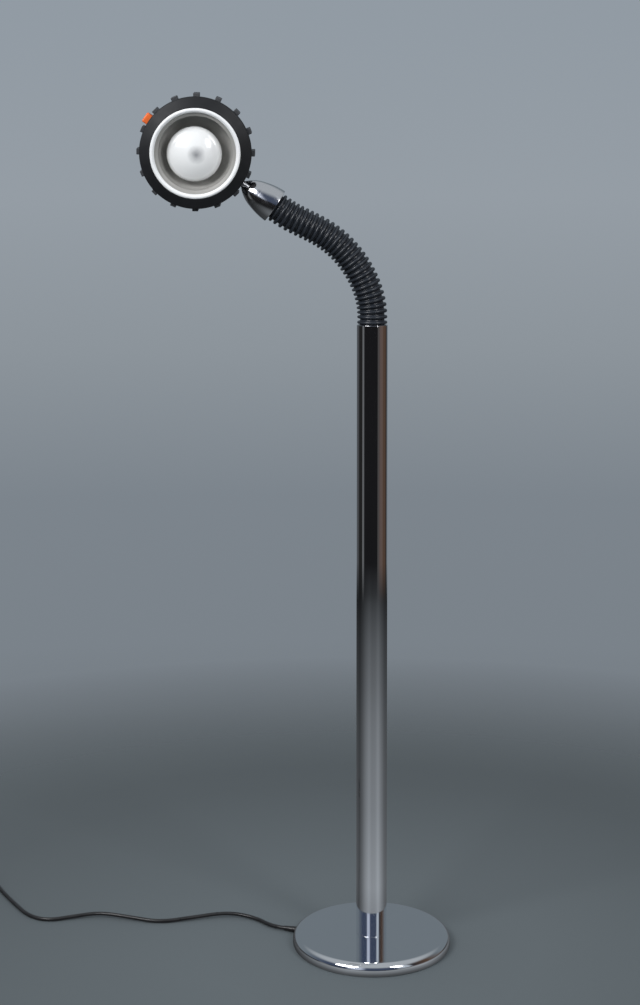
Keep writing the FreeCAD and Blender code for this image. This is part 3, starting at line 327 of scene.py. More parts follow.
def settled(piece: bpy.types.Object) -> bpy.types.Object:
    """Apply a piece's modifiers to its mesh."""
    bpy.context.view_layer.update()
    graph = bpy.context.evaluated_depsgraph_get()
    mesh = bpy.data.meshes.new_from_object(piece.evaluated_get(graph), depsgraph=graph)
    piece.modifiers.clear()
    piece.data = mesh
    mesh.name = piece.name
    return piece


def weighted(piece: bpy.types.Object, sharp_angle: float = 180.0) -> bpy.types.Object:
    """Let large faces set the shading of a piece, and keep edges past an angle sharp."""
    if sharp_angle < 180:
        piece.data.set_sharp_from_angle(angle=math.radians(sharp_angle))
    modifier = piece.modifiers.new("Shading", "WEIGHTED_NORMAL")
    modifier.keep_sharp = True
    modifier.weight = 100
    return settled(piece)


def carved(piece: bpy.types.Object, cutter: bpy.types.Object) -> bpy.types.Object:
    """Take the cutter away from the piece, and drop the cutter."""
    modifier = piece.modifiers.new("Cut", "BOOLEAN")
    modifier.operation = "DIFFERENCE"
    modifier.solver = "EXACT"
    modifier.object = cutter
    settled(piece)
    bpy.data.objects.remove(cutter)
    return weighted(piece, sharp_angle=40)


def joined(pieces: list[bpy.types.Object], name: str) -> bpy.types.Object:
    """Make one piece of several."""
    first = pieces[0]
    shape = bmesh.new()
    for piece in pieces:
        shape.from_mesh(piece.data)
    shape.to_mesh(first.data)
    shape.free()
    for piece in pieces[1:]:
        bpy.data.objects.remove(piece)
    first.name = name
    return first


# ------------------------------------------------------------------ finishes


class Pattern(Enum):
    """The coordinates that a finish's pattern follows."""

    OBJECT = "Object"
    UNBENT = "unbent"


class Nodes:
    """A tree of shader nodes that grows one node at a time."""

    def __init__(self, tree: bpy.types.NodeTree) -> None:
        """Keep the tree that gets the nodes."""
        self.tree = tree

    def node(self, kind: str, **settings: object) -> bpy.types.Node:
        """Add a node of a kind and give it its settings."""
        made = self.tree.nodes.new(kind)
        for key, value in settings.items():
            setattr(made, key, value)
        return made

    def link(self, source: Socket, target: Socket) -> None:
        """Join two sockets."""
        self.tree.links.new(source, target)

    def put(self, value: Value, target: Socket) -> None:
        """Feed a socket, a colour or a number into a socket."""
        if isinstance(value, Socket):
            self.link(value, target)
        else:
            target.default_value = (*value, 1) if isinstance(value, tuple) else value

    def maths(self, operation: str, *values: Value) -> Socket:
        """Return what an operation makes of one to three values."""
        made = self.node("ShaderNodeMath", operation=operation)
        for value, target in zip(values, made.inputs):
            self.put(value, target)
        return made.outputs[0]

    def split(self, place: Socket) -> bpy.types.NodeOutputs:
        """Return a place's three numbers."""
        made = self.node("ShaderNodeSeparateXYZ")
        self.link(place, made.inputs[0])
        return made.outputs

    def distance(self, place: Socket, centre: Colour) -> Socket:
        """Return how far a place is from a centre."""
        made = self.node("ShaderNodeVectorMath", operation="DISTANCE")
        made.inputs[1].default_value = centre
        self.link(place, made.inputs[0])
        return made.outputs["Value"]

    def heading(self, place: Socket) -> Socket:
        """Return the angle round Z from the camera's side to a place, to the right in radians."""
        axes = self.split(place)
        return self.maths("ARCTAN2", axes["X"], self.maths("MULTIPLY", axes["Y"], -1.0))

    def spread(self, value: Socket, low: float, high: float, start: float = 0.3,
               end: float = 0.7, shape: str = "LINEAR") -> Socket:
        """Map a value from start..end onto low..high."""
        ranged = self.node("ShaderNodeMapRange", interpolation_type=shape)
        for socket, number in (("From Min", start), ("From Max", end), ("To Min", low),
                               ("To Max", high)):
            ranged.inputs[socket].default_value = number
        self.link(value, ranged.inputs["Value"])
        return ranged.outputs["Result"]

    def blend(self, share: Socket, first: Value, second: Value) -> Socket:
        """Return the colour that lies a share of the way between two colours."""
        mix = self.node("ShaderNodeMix", data_type="RGBA")
        for number, value in ((0, share), (6, first), (7, second)):
            self.put(value, mix.inputs[number])
        return mix.outputs[2]

    def either(self, share: Socket, first: Socket, second: Socket) -> Socket:
        """Return the mix of two shaders."""
        mix = self.node("ShaderNodeMixShader")
        for number, value in enumerate((share, first, second)):
            self.link(value, mix.inputs[number])
        return mix.outputs[0]

    def toned(self, value: Socket, unit: float, stops: list[tuple[float, Colour]]) -> Socket:
        """Return the colour that a value picks from a row of stops.

        Args:
            value: the value.
            unit: how much of the value one unit of the stops is.
            stops: places and colours in rising order; between two the colour changes evenly.

        Returns:
            The colour's socket.
        """
        first, last = stops[0][0], stops[-1][0]
        share = self.spread(value, 0, 1, first * unit, last * unit)
        ramp = self.node("ShaderNodeValToRGB")
        elements = ramp.color_ramp.elements
        elements.remove(elements[-1])
        for number, (place, colour) in enumerate(stops):
            at = (place - first) / (last - first)
            element = elements[0] if number == 0 else elements.new(at)
            element.position = at
            element.color = (*colour, 1)
        self.link(share, ramp.inputs["Fac"])
        return ramp.outputs["Color"]


class Shading(Nodes):
    """The nodes of a material with one plain shader."""

    def __init__(self, name: str, pattern: Pattern) -> None:
        """Start the material.

        Args:
            name: the material's name.
            pattern: what its patterns follow.
        """
        self.material = bpy.data.materials.new(name)
        self.material.use_nodes = True
        super().__init__(self.material.node_tree)
        self.shader = self.tree.nodes["Principled BSDF"]
        if pattern is Pattern.OBJECT:
            self.place = self.node("ShaderNodeTexCoord").outputs["Object"]
        else:
            self.place = self.node("ShaderNodeAttribute", attribute_name="unbent").outputs["Vector"]

    def set(self, name: str, value: Value) -> None:
        """Feed a value into the shader's input of that name."""
        self.put(value, self.shader.inputs[name])

    def stretched(self, scale: Colour, centre: Colour = (0, 0, 0),
                  turn: Colour = (0, 0, 0)) -> Socket:
        """Return the pattern's coordinates, moved, turned and scaled."""
        mapping = self.node("ShaderNodeMapping", vector_type="TEXTURE")
        mapping.inputs["Location"].default_value = centre
        mapping.inputs["Rotation"].default_value = turn
        mapping.inputs["Scale"].default_value = tuple(1 / s for s in scale)
        self.link(self.place, mapping.inputs["Vector"])
        return mapping.outputs["Vector"]

    def noise(self, place: Socket, scale: float, detail: float = 3.0,
              rough: float = 0.55) -> Socket:
        """Return a soft random pattern; scale is in patches per metre."""
        noise = self.node("ShaderNodeTexNoise")
        noise.inputs["Scale"].default_value = scale
        noise.inputs["Detail"].default_value = detail
        noise.inputs["Roughness"].default_value = rough
        self.link(place, noise.inputs["Vector"])
        return noise.outputs["Fac"]

    def bumped(self, height: Socket, depth_mm: float) -> Socket:
        """Return a surface direction that leans with a height pattern of that depth."""
        bump = self.node("ShaderNodeBump")
        bump.inputs["Strength"].default_value = 1.0
        bump.inputs["Distance"].default_value = depth_mm * MM
        self.link(height, bump.inputs["Height"])
        return bump.outputs["Normal"]


@dataclass(frozen=True)
class Finish:
    """A surface finish whose tone, gloss and relief vary a little, as a real one does.

    The colour goes from colour to its second tone with one noise, the roughness from low to high
    with another, and a third one lifts the surface by a few hundredths of a millimetre.
    """

    name: str
    colour: Colour
    # the second tone: wear on most finishes, painted shade on the bulb's opal
    wear_and_painted_shade: Colour
    roughness: tuple[float, float]
    metallic: float = 0.0
    specular: float = 0.5
    coat: float = 0.0
    coat_roughness: float = 0.08
    tone_scale: float = 30.0
    gloss_scale: float = 60.0
    relief_scale: float = 900.0
    relief_mm: float = 0.01
    stretch: Colour = (1.0, 1.0, 1.0)
    pattern: Pattern = Pattern.OBJECT

    def start(self) -> Shading:
        """Return the shading with the values that are the same all over."""
        shading = Shading(self.name, self.pattern)
        shading.set("Metallic", self.metallic)
        shading.set("Specular IOR Level", self.specular)
        shading.set("Coat Weight", self.coat)
        shading.set("Coat Roughness", self.coat_roughness)
        return shading

    def dress(self, shading: Shading) -> None:
        """Add the varying colour, roughness and relief."""
        place = shading.stretched(self.stretch)
        tone = shading.noise(place, self.tone_scale, 4)
        gloss = shading.noise(place, self.gloss_scale, 5)
        relief = shading.noise(place, self.relief_scale, 2)
        share = shading.spread(tone, 0, 1, 0.35, 0.7)
        shading.set("Base Color", shading.blend(share, self.colour, self.wear_and_painted_shade))
        shading.set("Roughness", shading.spread(gloss, *self.roughness))
        shading.set("Normal", shading.bumped(relief, self.relief_mm))

    def material(self) -> bpy.types.Material:
        """Return the finish's material, made once."""
        known = bpy.data.materials.get(self.name)
        if known is None:
            shading = self.start()
            self.dress(shading)
            known = shading.material
        return known


@dataclass(frozen=True)
class Chrome(Finish):
    """Bright plating: nearly a mirror, with faint wipe marks, a slow waviness and small pits."""

    wave_mm: float = 0.02
    pit_scale: float = 260.0
    pit_dullness: float = 0.3

    def dress(self, shading: Shading) -> None:
        """Add wipe marks to the gloss, waves to the relief, and dull pits in some patches."""
        place = shading.stretched(self.stretch)
        marks = shading.noise(place, self.gloss_scale, 6, 0.6)
        cells = shading.node("ShaderNodeTexVoronoi")
        cells.inputs["Scale"].default_value = self.pit_scale
        cells.inputs["Randomness"].default_value = 1.0
        shading.link(shading.place, cells.inputs["Vector"])
        pits = shading.spread(cells.outputs["Distance"], 1, 0, 0.05, 0.11)
        patches = shading.noise(shading.place, self.tone_scale, 2)
        pitted = shading.maths("MULTIPLY", pits, shading.spread(patches, 0, 1, 0.56, 0.66))
        shading.set("Base Color", shading.blend(pitted, self.colour, self.wear_and_painted_shade))
        gloss = shading.spread(marks, *self.roughness)
        shading.set("Roughness",
                    shading.maths("MULTIPLY_ADD", pitted, self.pit_dullness, gloss))
        waves = shading.noise(place, self.relief_scale, 1)
        shading.set("Normal", shading.bumped(waves, self.wave_mm))


@dataclass(frozen=True)
class Spun(Finish):
    """Metal turned on a lathe: fine rings round a centre, and, where given, a darker tone far from it that leaves
    the middle painted light.
    """

    centre: Colour = (0.0, 0.0, 0.0)
    turn: Colour = (0.0, 0.0, 0.0)
    rings: float = 900.0
    # outer: the darker tone far from the centre; the paler middle inside it is painted light
    outer: Colour | None = None
    painted_light_fade_mm: tuple[float, float] = (42.0, 53.0)

    def dress(self, shading: Shading) -> None:
        """Add rings to the relief and gloss, tone patches, and the darker outer tone round the painted-light
        middle.

        The rings follow the distance from the axis: the root of X squared plus Y squared.
        """
        local = shading.stretched((1, 1, 1), self.centre, self.turn)
        x, y, z = shading.split(local)
        square = shading.maths("MULTIPLY", x, x)
        radius = shading.maths("SQRT", shading.maths("MULTIPLY_ADD", y, y, square))
        ringed = shading.node("ShaderNodeCombineXYZ")
        shading.link(radius, ringed.inputs["X"])
        shading.link(z, ringed.inputs["Z"])
        lines = shading.noise(ringed.outputs[0], self.rings, 3, 0.7)
        tone = shading.noise(local, self.tone_scale, 3)
        colour = shading.blend(shading.spread(tone, 0, 1), self.colour, self.wear_and_painted_shade)
        # painted light: pale in the middle, turning darker from the first radius to the second
        if self.outer is not None:
            start, end = self.painted_light_fade_mm
            outwards = shading.spread(radius, 0, 1, start * MM, end * MM)
            colour = shading.blend(outwards, colour, self.outer)
        shading.set("Base Color", colour)
        shading.set("Roughness", shading.spread(lines, *self.roughness))
        shading.set("Normal", shading.bumped(lines, self.relief_mm))


@dataclass(frozen=True)
class Opal(Finish):
    """White opal glass with a soft grey painted shade off the middle of its face, for the dark neck seen through
    it.
    """

    centre: Colour = (0.0, 0.0, 0.0)
    painted_shade_mm: float = 11.0
    painted_shade_core_mm: float = 4.0
    painted_shade_wobble_mm: float = 6.0

    def dress(self, shading: Shading) -> None:
        """Add the painted shade, which fades with the distance from the middle of the face."""
        wobble = shading.noise(shading.place, 70, 2)
        reach = shading.maths("MULTIPLY_ADD", wobble, self.painted_shade_wobble_mm * MM,
                              shading.distance(shading.place, self.centre))
        painted_shade = shading.spread(reach, 1, 0, self.painted_shade_core_mm * MM, (self.painted_shade_mm + self.painted_shade_core_mm) * MM)
        shading.set("Base Color", shading.blend(painted_shade, self.colour, self.wear_and_painted_shade))
        gloss = shading.noise(shading.place, self.gloss_scale, 4)
        shading.set("Roughness", shading.spread(gloss, *self.roughness))
        relief = shading.noise(shading.place, self.relief_scale, 1)
        shading.set("Normal", shading.bumped(relief, self.relief_mm))


def head_turn() -> Colour:
    """Return the head's turn as Euler angles, for patterns that are centred on its axis."""
    return tuple(Matrix(HEAD.axes.T.tolist()).to_euler())


CHROME = Chrome("bright_chrome", (0.84, 0.85, 0.87), (0.32, 0.3, 0.28), (0.02, 0.07),
                metallic=1.0, gloss_scale=26.0, relief_scale=14.0, tone_scale=9.0,
                stretch=(1.0, 1.0, 0.18))
DISC_CHROME = Chrome("disc_chrome", (0.84, 0.85, 0.87), (0.3, 0.28, 0.26), (0.03, 0.09),
                     metallic=1.0, gloss_scale=24.0, relief_scale=16.0, tone_scale=11.0,
                     wave_mm=0.05)
BELL_CHROME = Chrome("bell_chrome", (0.8, 0.8, 0.81), (0.3, 0.28, 0.26), (0.09, 0.17),
                     metallic=1.0, gloss_scale=90.0, relief_scale=60.0, tone_scale=30.0,
                     wave_mm=0.02)
RIB_RUBBER = Finish("rib_rubber", (0.016, 0.02, 0.027), (0.026, 0.031, 0.04), (0.27, 0.35),
                    tone_scale=40, gloss_scale=120, relief_scale=500, relief_mm=0.002,
                    pattern=Pattern.UNBENT)
RING_BLACK = Finish("ring_black", (0.01, 0.011, 0.013), (0.016, 0.017, 0.02), (0.46, 0.56),
                    specular=0.35, tone_scale=35, gloss_scale=80, relief_scale=1400,
                    relief_mm=0.012)
CASE_BLACK = Finish("case_black", (0.016, 0.017, 0.02), (0.026, 0.028, 0.032), (0.36, 0.5),
                    tone_scale=30, gloss_scale=70, relief_scale=1500, relief_mm=0.02)
# The cogs are the casing's black plastic painted lighter: painted light for the light that falls on them from
# above.
COG_BLACK_PAINTED_LIGHT = Finish("cog_black_painted_light", (0.05, 0.053, 0.06), (0.07, 0.074, 0.082), (0.42, 0.55),
                   tone_scale=60, gloss_scale=120, relief_scale=1500, relief_mm=0.02)
LEAD_BLACK = Finish("lead_black", (0.012, 0.012, 0.013), (0.02, 0.02, 0.021), (0.25, 0.4),
                    tone_scale=60, gloss_scale=150, relief_scale=900, relief_mm=0.01)
ORANGE = Finish("switch_orange", (0.95, 0.19, 0.04), (0.88, 0.155, 0.03), (0.3, 0.42),
                tone_scale=90, gloss_scale=200, relief_scale=1600, relief_mm=0.012)
RIM_WHITE = Spun("rim_bright", (0.95, 0.96, 0.97), (0.9, 0.92, 0.94), (0.3, 0.42), specular=0.6,
                 tone_scale=25, relief_mm=0.004, centre=tuple(HEAD.origin), turn=head_turn())
# The bowl is painted pale deep inside and darker towards its step: painted light that makes up for the shade
# falling deep in the bowl.
BOWL = Spun("bowl_satin", (0.9, 0.895, 0.87), (0.84, 0.83, 0.8), (0.42, 0.54),
            outer=(0.35, 0.345, 0.33),
            tone_scale=22, relief_mm=0.006, centre=tuple(HEAD.origin), turn=head_turn())
# The bulb's second tone is painted shade: a grey patch off the middle of its face.
OPAL = Opal("opal_painted_shade", (0.94, 0.955, 0.96), (0.34, 0.35, 0.37), (0.14, 0.22), specular=0.6,
            coat=0.6, gloss_scale=120, relief_scale=160, relief_mm=0.02,
            centre=tuple(BULB.points(np.array([3.0, 2.6, 26.0]))), painted_shade_mm=13)
STEEL = Finish("zinc_plate", (0.55, 0.56, 0.58), (0.42, 0.42, 0.43), (0.24, 0.42), metallic=1.0,
               tone_scale=80, gloss_scale=200, relief_scale=1500, relief_mm=0.01)
ALLOY = Finish("cast_alloy", (0.62, 0.63, 0.65), (0.5, 0.5, 0.52), (0.3, 0.45), metallic=1.0)
IRON = Finish("cast_iron", (0.06, 0.06, 0.063), (0.09, 0.08, 0.075), (0.6, 0.85), metallic=0.6,
              tone_scale=60, relief_scale=420, relief_mm=0.12)
PAD = Finish("foot_rubber", (0.02, 0.02, 0.02), (0.035, 0.034, 0.033), (0.7, 0.9),
             relief_scale=1800, relief_mm=0.05)
NYLON = Finish("nylon_dark", (0.03, 0.03, 0.032), (0.045, 0.045, 0.047), (0.45, 0.6))
LEAD_PALE = Finish("lead_pale", (0.62, 0.6, 0.55), (0.55, 0.53, 0.48), (0.4, 0.55))
BRASS = Finish("brass_bare", (0.72, 0.5, 0.2), (0.6, 0.42, 0.18), (0.25, 0.4), metallic=1.0)
PIN_METAL = Finish("pin_nickel", (0.72, 0.7, 0.64), (0.62, 0.6, 0.55), (0.18, 0.3), metallic=1.0)
CAP_METAL = Finish("cap_aluminium", (0.7, 0.69, 0.66), (0.6, 0.59, 0.57), (0.25, 0.4),
                   metallic=1.0)
CERAMIC = Finish("ceramic_glaze", (0.8, 0.78, 0.72), (0.72, 0.7, 0.64), (0.25, 0.4), coat=0.3)

FINISH_OF_SLOT = {
    "mirror_chrome": CHROME, "pad_rubber": PAD, "iron": IRON, "plated_steel": STEEL,
    "link_alloy": ALLOY, "sleeve_rubber": CASE_BLACK, "black_lead": LEAD_BLACK,
    "head_lead": LEAD_PALE, "pins": PIN_METAL, "black_plastic": CASE_BLACK, "dark_nylon": NYLON,
    "ball_steel": STEEL, "reflector": BOWL, "opal_glass": OPAL, "cap_metal": CAP_METAL,
    "contact_brass": BRASS, "holder_ceramic": CERAMIC, "orange_button": ORANGE,
}


def dressed(piece: bpy.types.Object, finish: Finish, body: str, *nodes: str,
            ride: bool = True) -> bpy.types.Object:
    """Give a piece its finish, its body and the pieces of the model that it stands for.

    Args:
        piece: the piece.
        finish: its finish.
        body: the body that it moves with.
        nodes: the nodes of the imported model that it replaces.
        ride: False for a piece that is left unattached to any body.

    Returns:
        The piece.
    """
    piece.data.materials.clear()
    piece.data.materials.append(finish.material())
    if nodes:
        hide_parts(*nodes)
    if ride:
        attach(piece, body)
    LOG.info("%s rides on %s", piece.name, body)
    return piece


# ------------------------------------------------------------------ the lamp's sub-assemblies


@dataclass
class Base:
    """The weighted disc's bright cover and the gland of its lead. Sizes in millimetres."""

    radius: float = 116.0
    height: float = 18.0
    edge: float = 10.0
    skin: float = 1.2
    foot_level: float = 6.0
    floor_gap: float = 0.8
    turn_in: float = 1.4
    bolt_hole: float = 6.3
    lead_level: float = 4.8

    def cover(self) -> bpy.types.Object:
        """Make the cover: flat top, round edge, and a skirt that turns in above the floor."""
        outer, skin, top = self.radius, self.skin, self.height
        drop = self.foot_level - self.floor_gap
        skirt = (drop**2 + self.turn_in**2) / (2 * self.turn_in)
        level = top - self.edge
        return turned("base_cover_bright", [
            (self.bolt_hole, top - skin),
            (outer - self.edge, top - skin, skin - self.edge),
            (outer - skin, level),
            (outer - skin, self.foot_level, -skirt),
            (outer - skin - self.turn_in, self.floor_gap),
            (outer - self.turn_in, self.floor_gap, skirt),
            (outer, self.foot_level),
            (outer, level, self.edge),
            (outer - self.edge, top),
            (self.bolt_hole, top),
        ], WORLD, segments=288, soften=0.25, fineness=3.0)

    def gland(self) -> bpy.types.Object:
        """Make the lead's tapered grip in the skirt."""
        wall_out = self.radius + 0.3
        inner = self.radius - self.skin - self.turn_in
        stand = GLAND.moved(0, 0, self.lead_level).facing(np.array([1.0, 0.0, 0.0]))
        return turned("lead_gland_soft", [
            (2.85, inner - 2.5),
            (4.5, inner - 2.5),
            (4.5, inner),
            (4.0, inner),
            (4.0, wall_out),
            (4.5, wall_out),
            (4.5, wall_out + 2),
            (4.25, wall_out + 3),
            (3.4, wall_out + 20),
            (2.85, wall_out + 20),
        ], stand, segments=48, soften=0.35)

    def build(self) -> None:
        """Make the base's pieces and dress them."""
        dressed(self.cover(), DISC_CHROME, "base", "base_cover")
        dressed(self.gland(), LEAD_BLACK, "base", "lead_gland")


@dataclass
class Post:
    """The bright tube. Sizes in millimetres."""

    radius: float = 22.5
    wall: float = 1.5
    foot: float = 18.0
    top: float = 918.0

    def build(self) -> None:
        """Make the tube with its small rounded rims and dress it."""
        bore = self.radius - self.wall
        tube = turned("post_tube_bright", [
            (bore, self.foot),
            (self.radius, self.foot),
            (self.radius, self.top),
            (bore, self.top),
        ], WORLD, segments=288, soften=0.45)
        dressed(tube, CHROME, "base", "post_tube")


@dataclass
class Sleeve:
    """The ribbed sleeve round the neck, in nine lengths that bend across one hinge each."""

    root: float = 17.8
    tip: float = 22.0
    rib_round: float = 2.2
    bore: float = 16.2
    ribs_per_segment: int = 3
    start: float = 0.3
    end: float = 25.0
    columns: int = 72
    reach: float = 8.5
    least_bend: float = 1e-6

    def __post_init__(self) -> None:
        """Work out the neck's line from its hinges.

        Each hinge's bend is the angle between the segments on its sides. Its arc joins the two
        segments' middles: a segment's length times half the bend over the half bend's tangent.
        Stations are the middles' distances along the line from the sleeve's foot.
        """
        hinges = np.array([joint_point(name) for name in HINGES])
        first = np.array([0.0, 0.0, hinges[0, 2] - SEGMENT * MM])
        last = hinges[-1] + STEM * SEGMENT * MM
        self.points = np.vstack([first, hinges, last])
        steps = np.diff(self.points, axis=0)
        self.ways = steps / np.linalg.norm(steps, axis=1)[:, None]
        bends = np.arccos(np.clip((self.ways[:-1] * self.ways[1:]).sum(1), -1, 1))
        self.bends = np.maximum(bends, self.least_bend)
        arcs = SEGMENT * (self.bends / 2) / np.tan(self.bends / 2)
        self.spans = np.where(bends > self.least_bend, arcs, SEGMENT)
        self.stations = SEGMENT / 2 + np.concatenate([[0], np.cumsum(self.spans)])
        self.pitch = SEGMENT / self.ribs_per_segment

    def centre_line(self, along: Array) -> tuple[Array, Array]:
        """Return points and directions of the sleeve's middle line.

        Between the middles of two segments the line is a circular arc: its direction turns
        evenly from one segment's to the next one's, and its point is the first middle plus the
        arc's chord. Outside the first and the last middle it is straight.

        Args:
            along: distances from the sleeve's foot in millimetres.

        Returns:
            Points in metres and unit directions, one row for each distance.
        """
        middles = (self.points[:-1] + self.points[1:]) / 2
        index = np.searchsorted(self.stations, along, side="right") - 1
        index = np.clip(index, 0, len(self.bends) - 1)
        span, bend = self.spans[index], self.bends[index]
        inside = along - self.stations[index]
        share = np.clip(inside / span, 0, 1)
        start = self.ways[index]
        side = self.ways[index + 1] - start * np.cos(bend)[:, None]
        side = side / np.maximum(np.linalg.norm(side, axis=1), 1e-9)[:, None]
        angle, radius = bend * share, span / bend
        place = (middles[index]
                 + start * (radius * np.sin(angle) * MM)[:, None]
                 + side * (radius * (1 - np.cos(angle)) * MM)[:, None])
        way = start * np.cos(angle)[:, None] + side * np.sin(angle)[:, None]
        return place + way * ((inside - share * span) * MM)[:, None], way

    def rib_line(self) -> Array:
        """Return one rib's outline as (distance from its middle, radius).

        The tip is a half circle, the flanks lean out a little and end in a small hollow.
        """
        turn = np.linspace(-np.pi / 2, np.pi / 2, 11)
        top = np.stack([self.rib_round * np.sin(turn),
                        self.tip - self.rib_round + self.rib_round * np.cos(turn)], -1)
        right = np.array([[2.25, self.root + 1.0], [2.45, self.root + 0.35], [2.9, self.root],
                          [self.pitch / 2, self.root]])
        left = right[::-1] * [-1, 1]
        return np.vstack([left[1:], top, right[:-1]])

    def ribs(self, middles: Array, low: float, high: float, stretch: float = 1.0) -> Array:
        """Return the outlines of ribs round these middles, cut off at low and at high."""
        rib = self.rib_line()
        line = np.vstack([np.column_stack([middle + rib[:, 0] * stretch, rib[:, 1]])
                          for middle in middles])
        return line[(line[:, 0] > low) & (line[:, 0] < high)]

    def piece(self, number: int) -> bpy.types.Object:
        """Make the length of sleeve round one hinge.

        Args:
            number: the hinge, from 0.

        Returns:
            The piece: a closed ring with ribs outside and a plain bore.
        """
        low, high = self.stations[number], self.stations[number + 1]
        stretch = (high - low) / SEGMENT
        inset = 1e-6
        middles = low + np.arange(self.ribs_per_segment + 1) * self.pitch * stretch
        ends = (low + inset, high - inset)
        rows = [[[low, self.tip]], self.ribs(middles[:1], *ends),
                self.ribs(middles[1:-1], *ends, stretch), self.ribs(middles[-1:], *ends),
                [[high, self.tip]]]
        if number == 0:
            foot = self.ribs([low - self.pitch, low], self.start, low)
            rows = [[[self.start, self.root]], foot, *rows]
        if number == len(HINGES) - 1:
            top = high - SEGMENT / 2 + self.end
            head = self.ribs([high, high + self.pitch], high, top)
            rows = [*rows, head, [[top, self.root]]]
        line = np.vstack(rows)
        inner = np.stack([np.linspace(line[-1, 0], line[0, 0], 12), np.full(12, self.bore)], -1)
        loop = np.vstack([line, inner])
        centres, ways = self.centre_line(loop[:, 0])
        across = np.cross(HINGE_AXIS, ways)
        across = across / np.linalg.norm(across, axis=1)[:, None]
        angles = np.arange(self.columns) * 2 * np.pi / self.columns
        radial = (across[:, None] * np.cos(angles)[None, :, None]
                  + HINGE_AXIS[None, None] * np.sin(angles)[None, :, None])
        grid = centres[:, None] + radial * (loop[:, 1, None, None] * MM)
        faces = grid_faces(len(loop), self.columns, True, True)
        made = mesh_piece(f"neck_sleeve_bend_{number + 1}", grid, faces)
        self.mark_unbent(made, grid, loop, angles)
        return made

    def mark_unbent(self, piece: bpy.types.Object, grid: Array, loop: Array,
                    angles: Array) -> None:
        """Give each point its place on the straight sleeve, which the finish's pattern follows."""
        straight = np.empty_like(grid)
        straight[..., 0] = loop[:, 1, None] * np.cos(angles) * MM
        straight[..., 1] = loop[:, 1, None] * np.sin(angles) * MM
        straight[..., 2] = loop[:, 0, None] * MM
        count = len(piece.data.vertices)
        attribute = piece.data.attributes.new("unbent", "FLOAT_VECTOR", "POINT")
        flat = straight.reshape(-1, 3)[:count]
        attribute.data.foreach_set("vector", flat.astype(np.float32).ravel())

    def build(self) -> None:
        """Make the nine lengths and dress them, each shaped round its hinge and left unattached to any body."""
        for number, (first, second) in enumerate(zip(SEGMENTS, SEGMENTS[1:])):
            nodes = [f"neck_sleeve_{number + 1:02d}"]
            if number == len(HINGES) - 1:
                nodes.append(f"neck_sleeve_{number + 2:02d}")
            piece = dressed(self.piece(number), RIB_RUBBER, first, *nodes, ride=False)
            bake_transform(piece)


@dataclass
class Bell:
    """The slotted swivel bell and the ball inside it. Sizes in millimetres."""

    mouth: float = 25.8
    lip: float = 1.8
    waist: float = 20.6
    waist_level: float = 30.0
    length: float = 55.0
    nose: float = 5.5
    body_curve: float = 105.0
    nose_curve: float = 51.0
    ball: float = 18.5
    slot_half: float = 5.3
    tilt: float = 43.5

    def shell(self) -> bpy.types.Object:
        """Make the bell's wall and cut the slot that the stem swings through."""
        seat = self.ball + 0.05
        shell = turned("swivel_bell_bright", [
            (self.mouth - self.lip, 0),
            (self.mouth, 0, self.body_curve),
            (self.waist, self.waist_level, self.nose_curve),
            (self.nose, self.length),
            (0, self.length),
            (0, BALL_LEVEL + seat, -seat),
            (seat, BALL_LEVEL),
            (seat + 0.25, BALL_LEVEL),
            (seat + 0.25, 5),
            (self.mouth - self.lip, 5),
        ], BELL, segments=256, soften=0.4, fineness=1.5)
        return carved(shell, self.slot_cutter())

    def slot_cutter(self) -> bpy.types.Object:
        """Make the slot's solid: a bar's path as it tilts, with a round end at each side.

        At a distance from the ball's middle the rim runs along the tilt at half a bar's width to
        each side, and round each end in a half circle square to the bar.
        """
        tilt = math.radians(self.tilt)
        half = self.slot_half
        distances = np.array([10.0, 40.0])[:, None]
        around = np.linspace(0, np.pi, 17)
        swing = np.linspace(0, tilt, 13)
        start = np.stack([-np.sin(around) * half, np.cos(around) * half], -1)
        ends = []
        for angle, sign, arc in ((0.0, 1, start), (tilt, -1, start)):
            along = arc[None, :, 0] * sign
            side = arc[None, :, 1] * sign
            x = distances * math.sin(angle) + along * math.cos(angle)
            z = distances * math.cos(angle) - along * math.sin(angle)
            ends.append(np.stack([x, side + 0 * distances, z], -1))
        sides = []
        for sign, turn in ((-1, swing[1:-1]), (1, swing[1:-1][::-1])):
            x = distances * np.sin(turn)[None]
            z = distances * np.cos(turn)[None]
            sides.append(np.stack([x, np.full_like(x, sign * half), z], -1))
        grid = np.concatenate([ends[0], sides[0], ends[1], sides[1]], axis=1)
        grid[..., 2] += BALL_LEVEL
        faces = grid_faces(2, grid.shape[1], False, True)
        return mesh_piece("slot_cutter", BELL.points(grid), faces)

    def ball_piece(self) -> bpy.types.Object:
        """Make the ball, bored for the stem."""
        back, recess, bore = -12.0, 9.2, 5.05
        at_back = math.sqrt(self.ball**2 - back**2)
        at_bore = math.sqrt(self.ball**2 - bore**2)
        return turned("swivel_ball_dark", [
            (bore, -2.5),
            (recess, -2.5),
            (recess, back),
            (at_back, back, self.ball),
            (bore, at_bore),
        ], BELL.moved(0, 0, BALL_LEVEL), segments=96, soften=0.3)

    def build(self) -> None:
        """Make the bell and the ball and dress them."""
        dressed(self.shell(), BELL_CHROME, "bell", "swivel_bell")
        dressed(self.ball_piece(), NYLON, "ball", "swivel_ball")


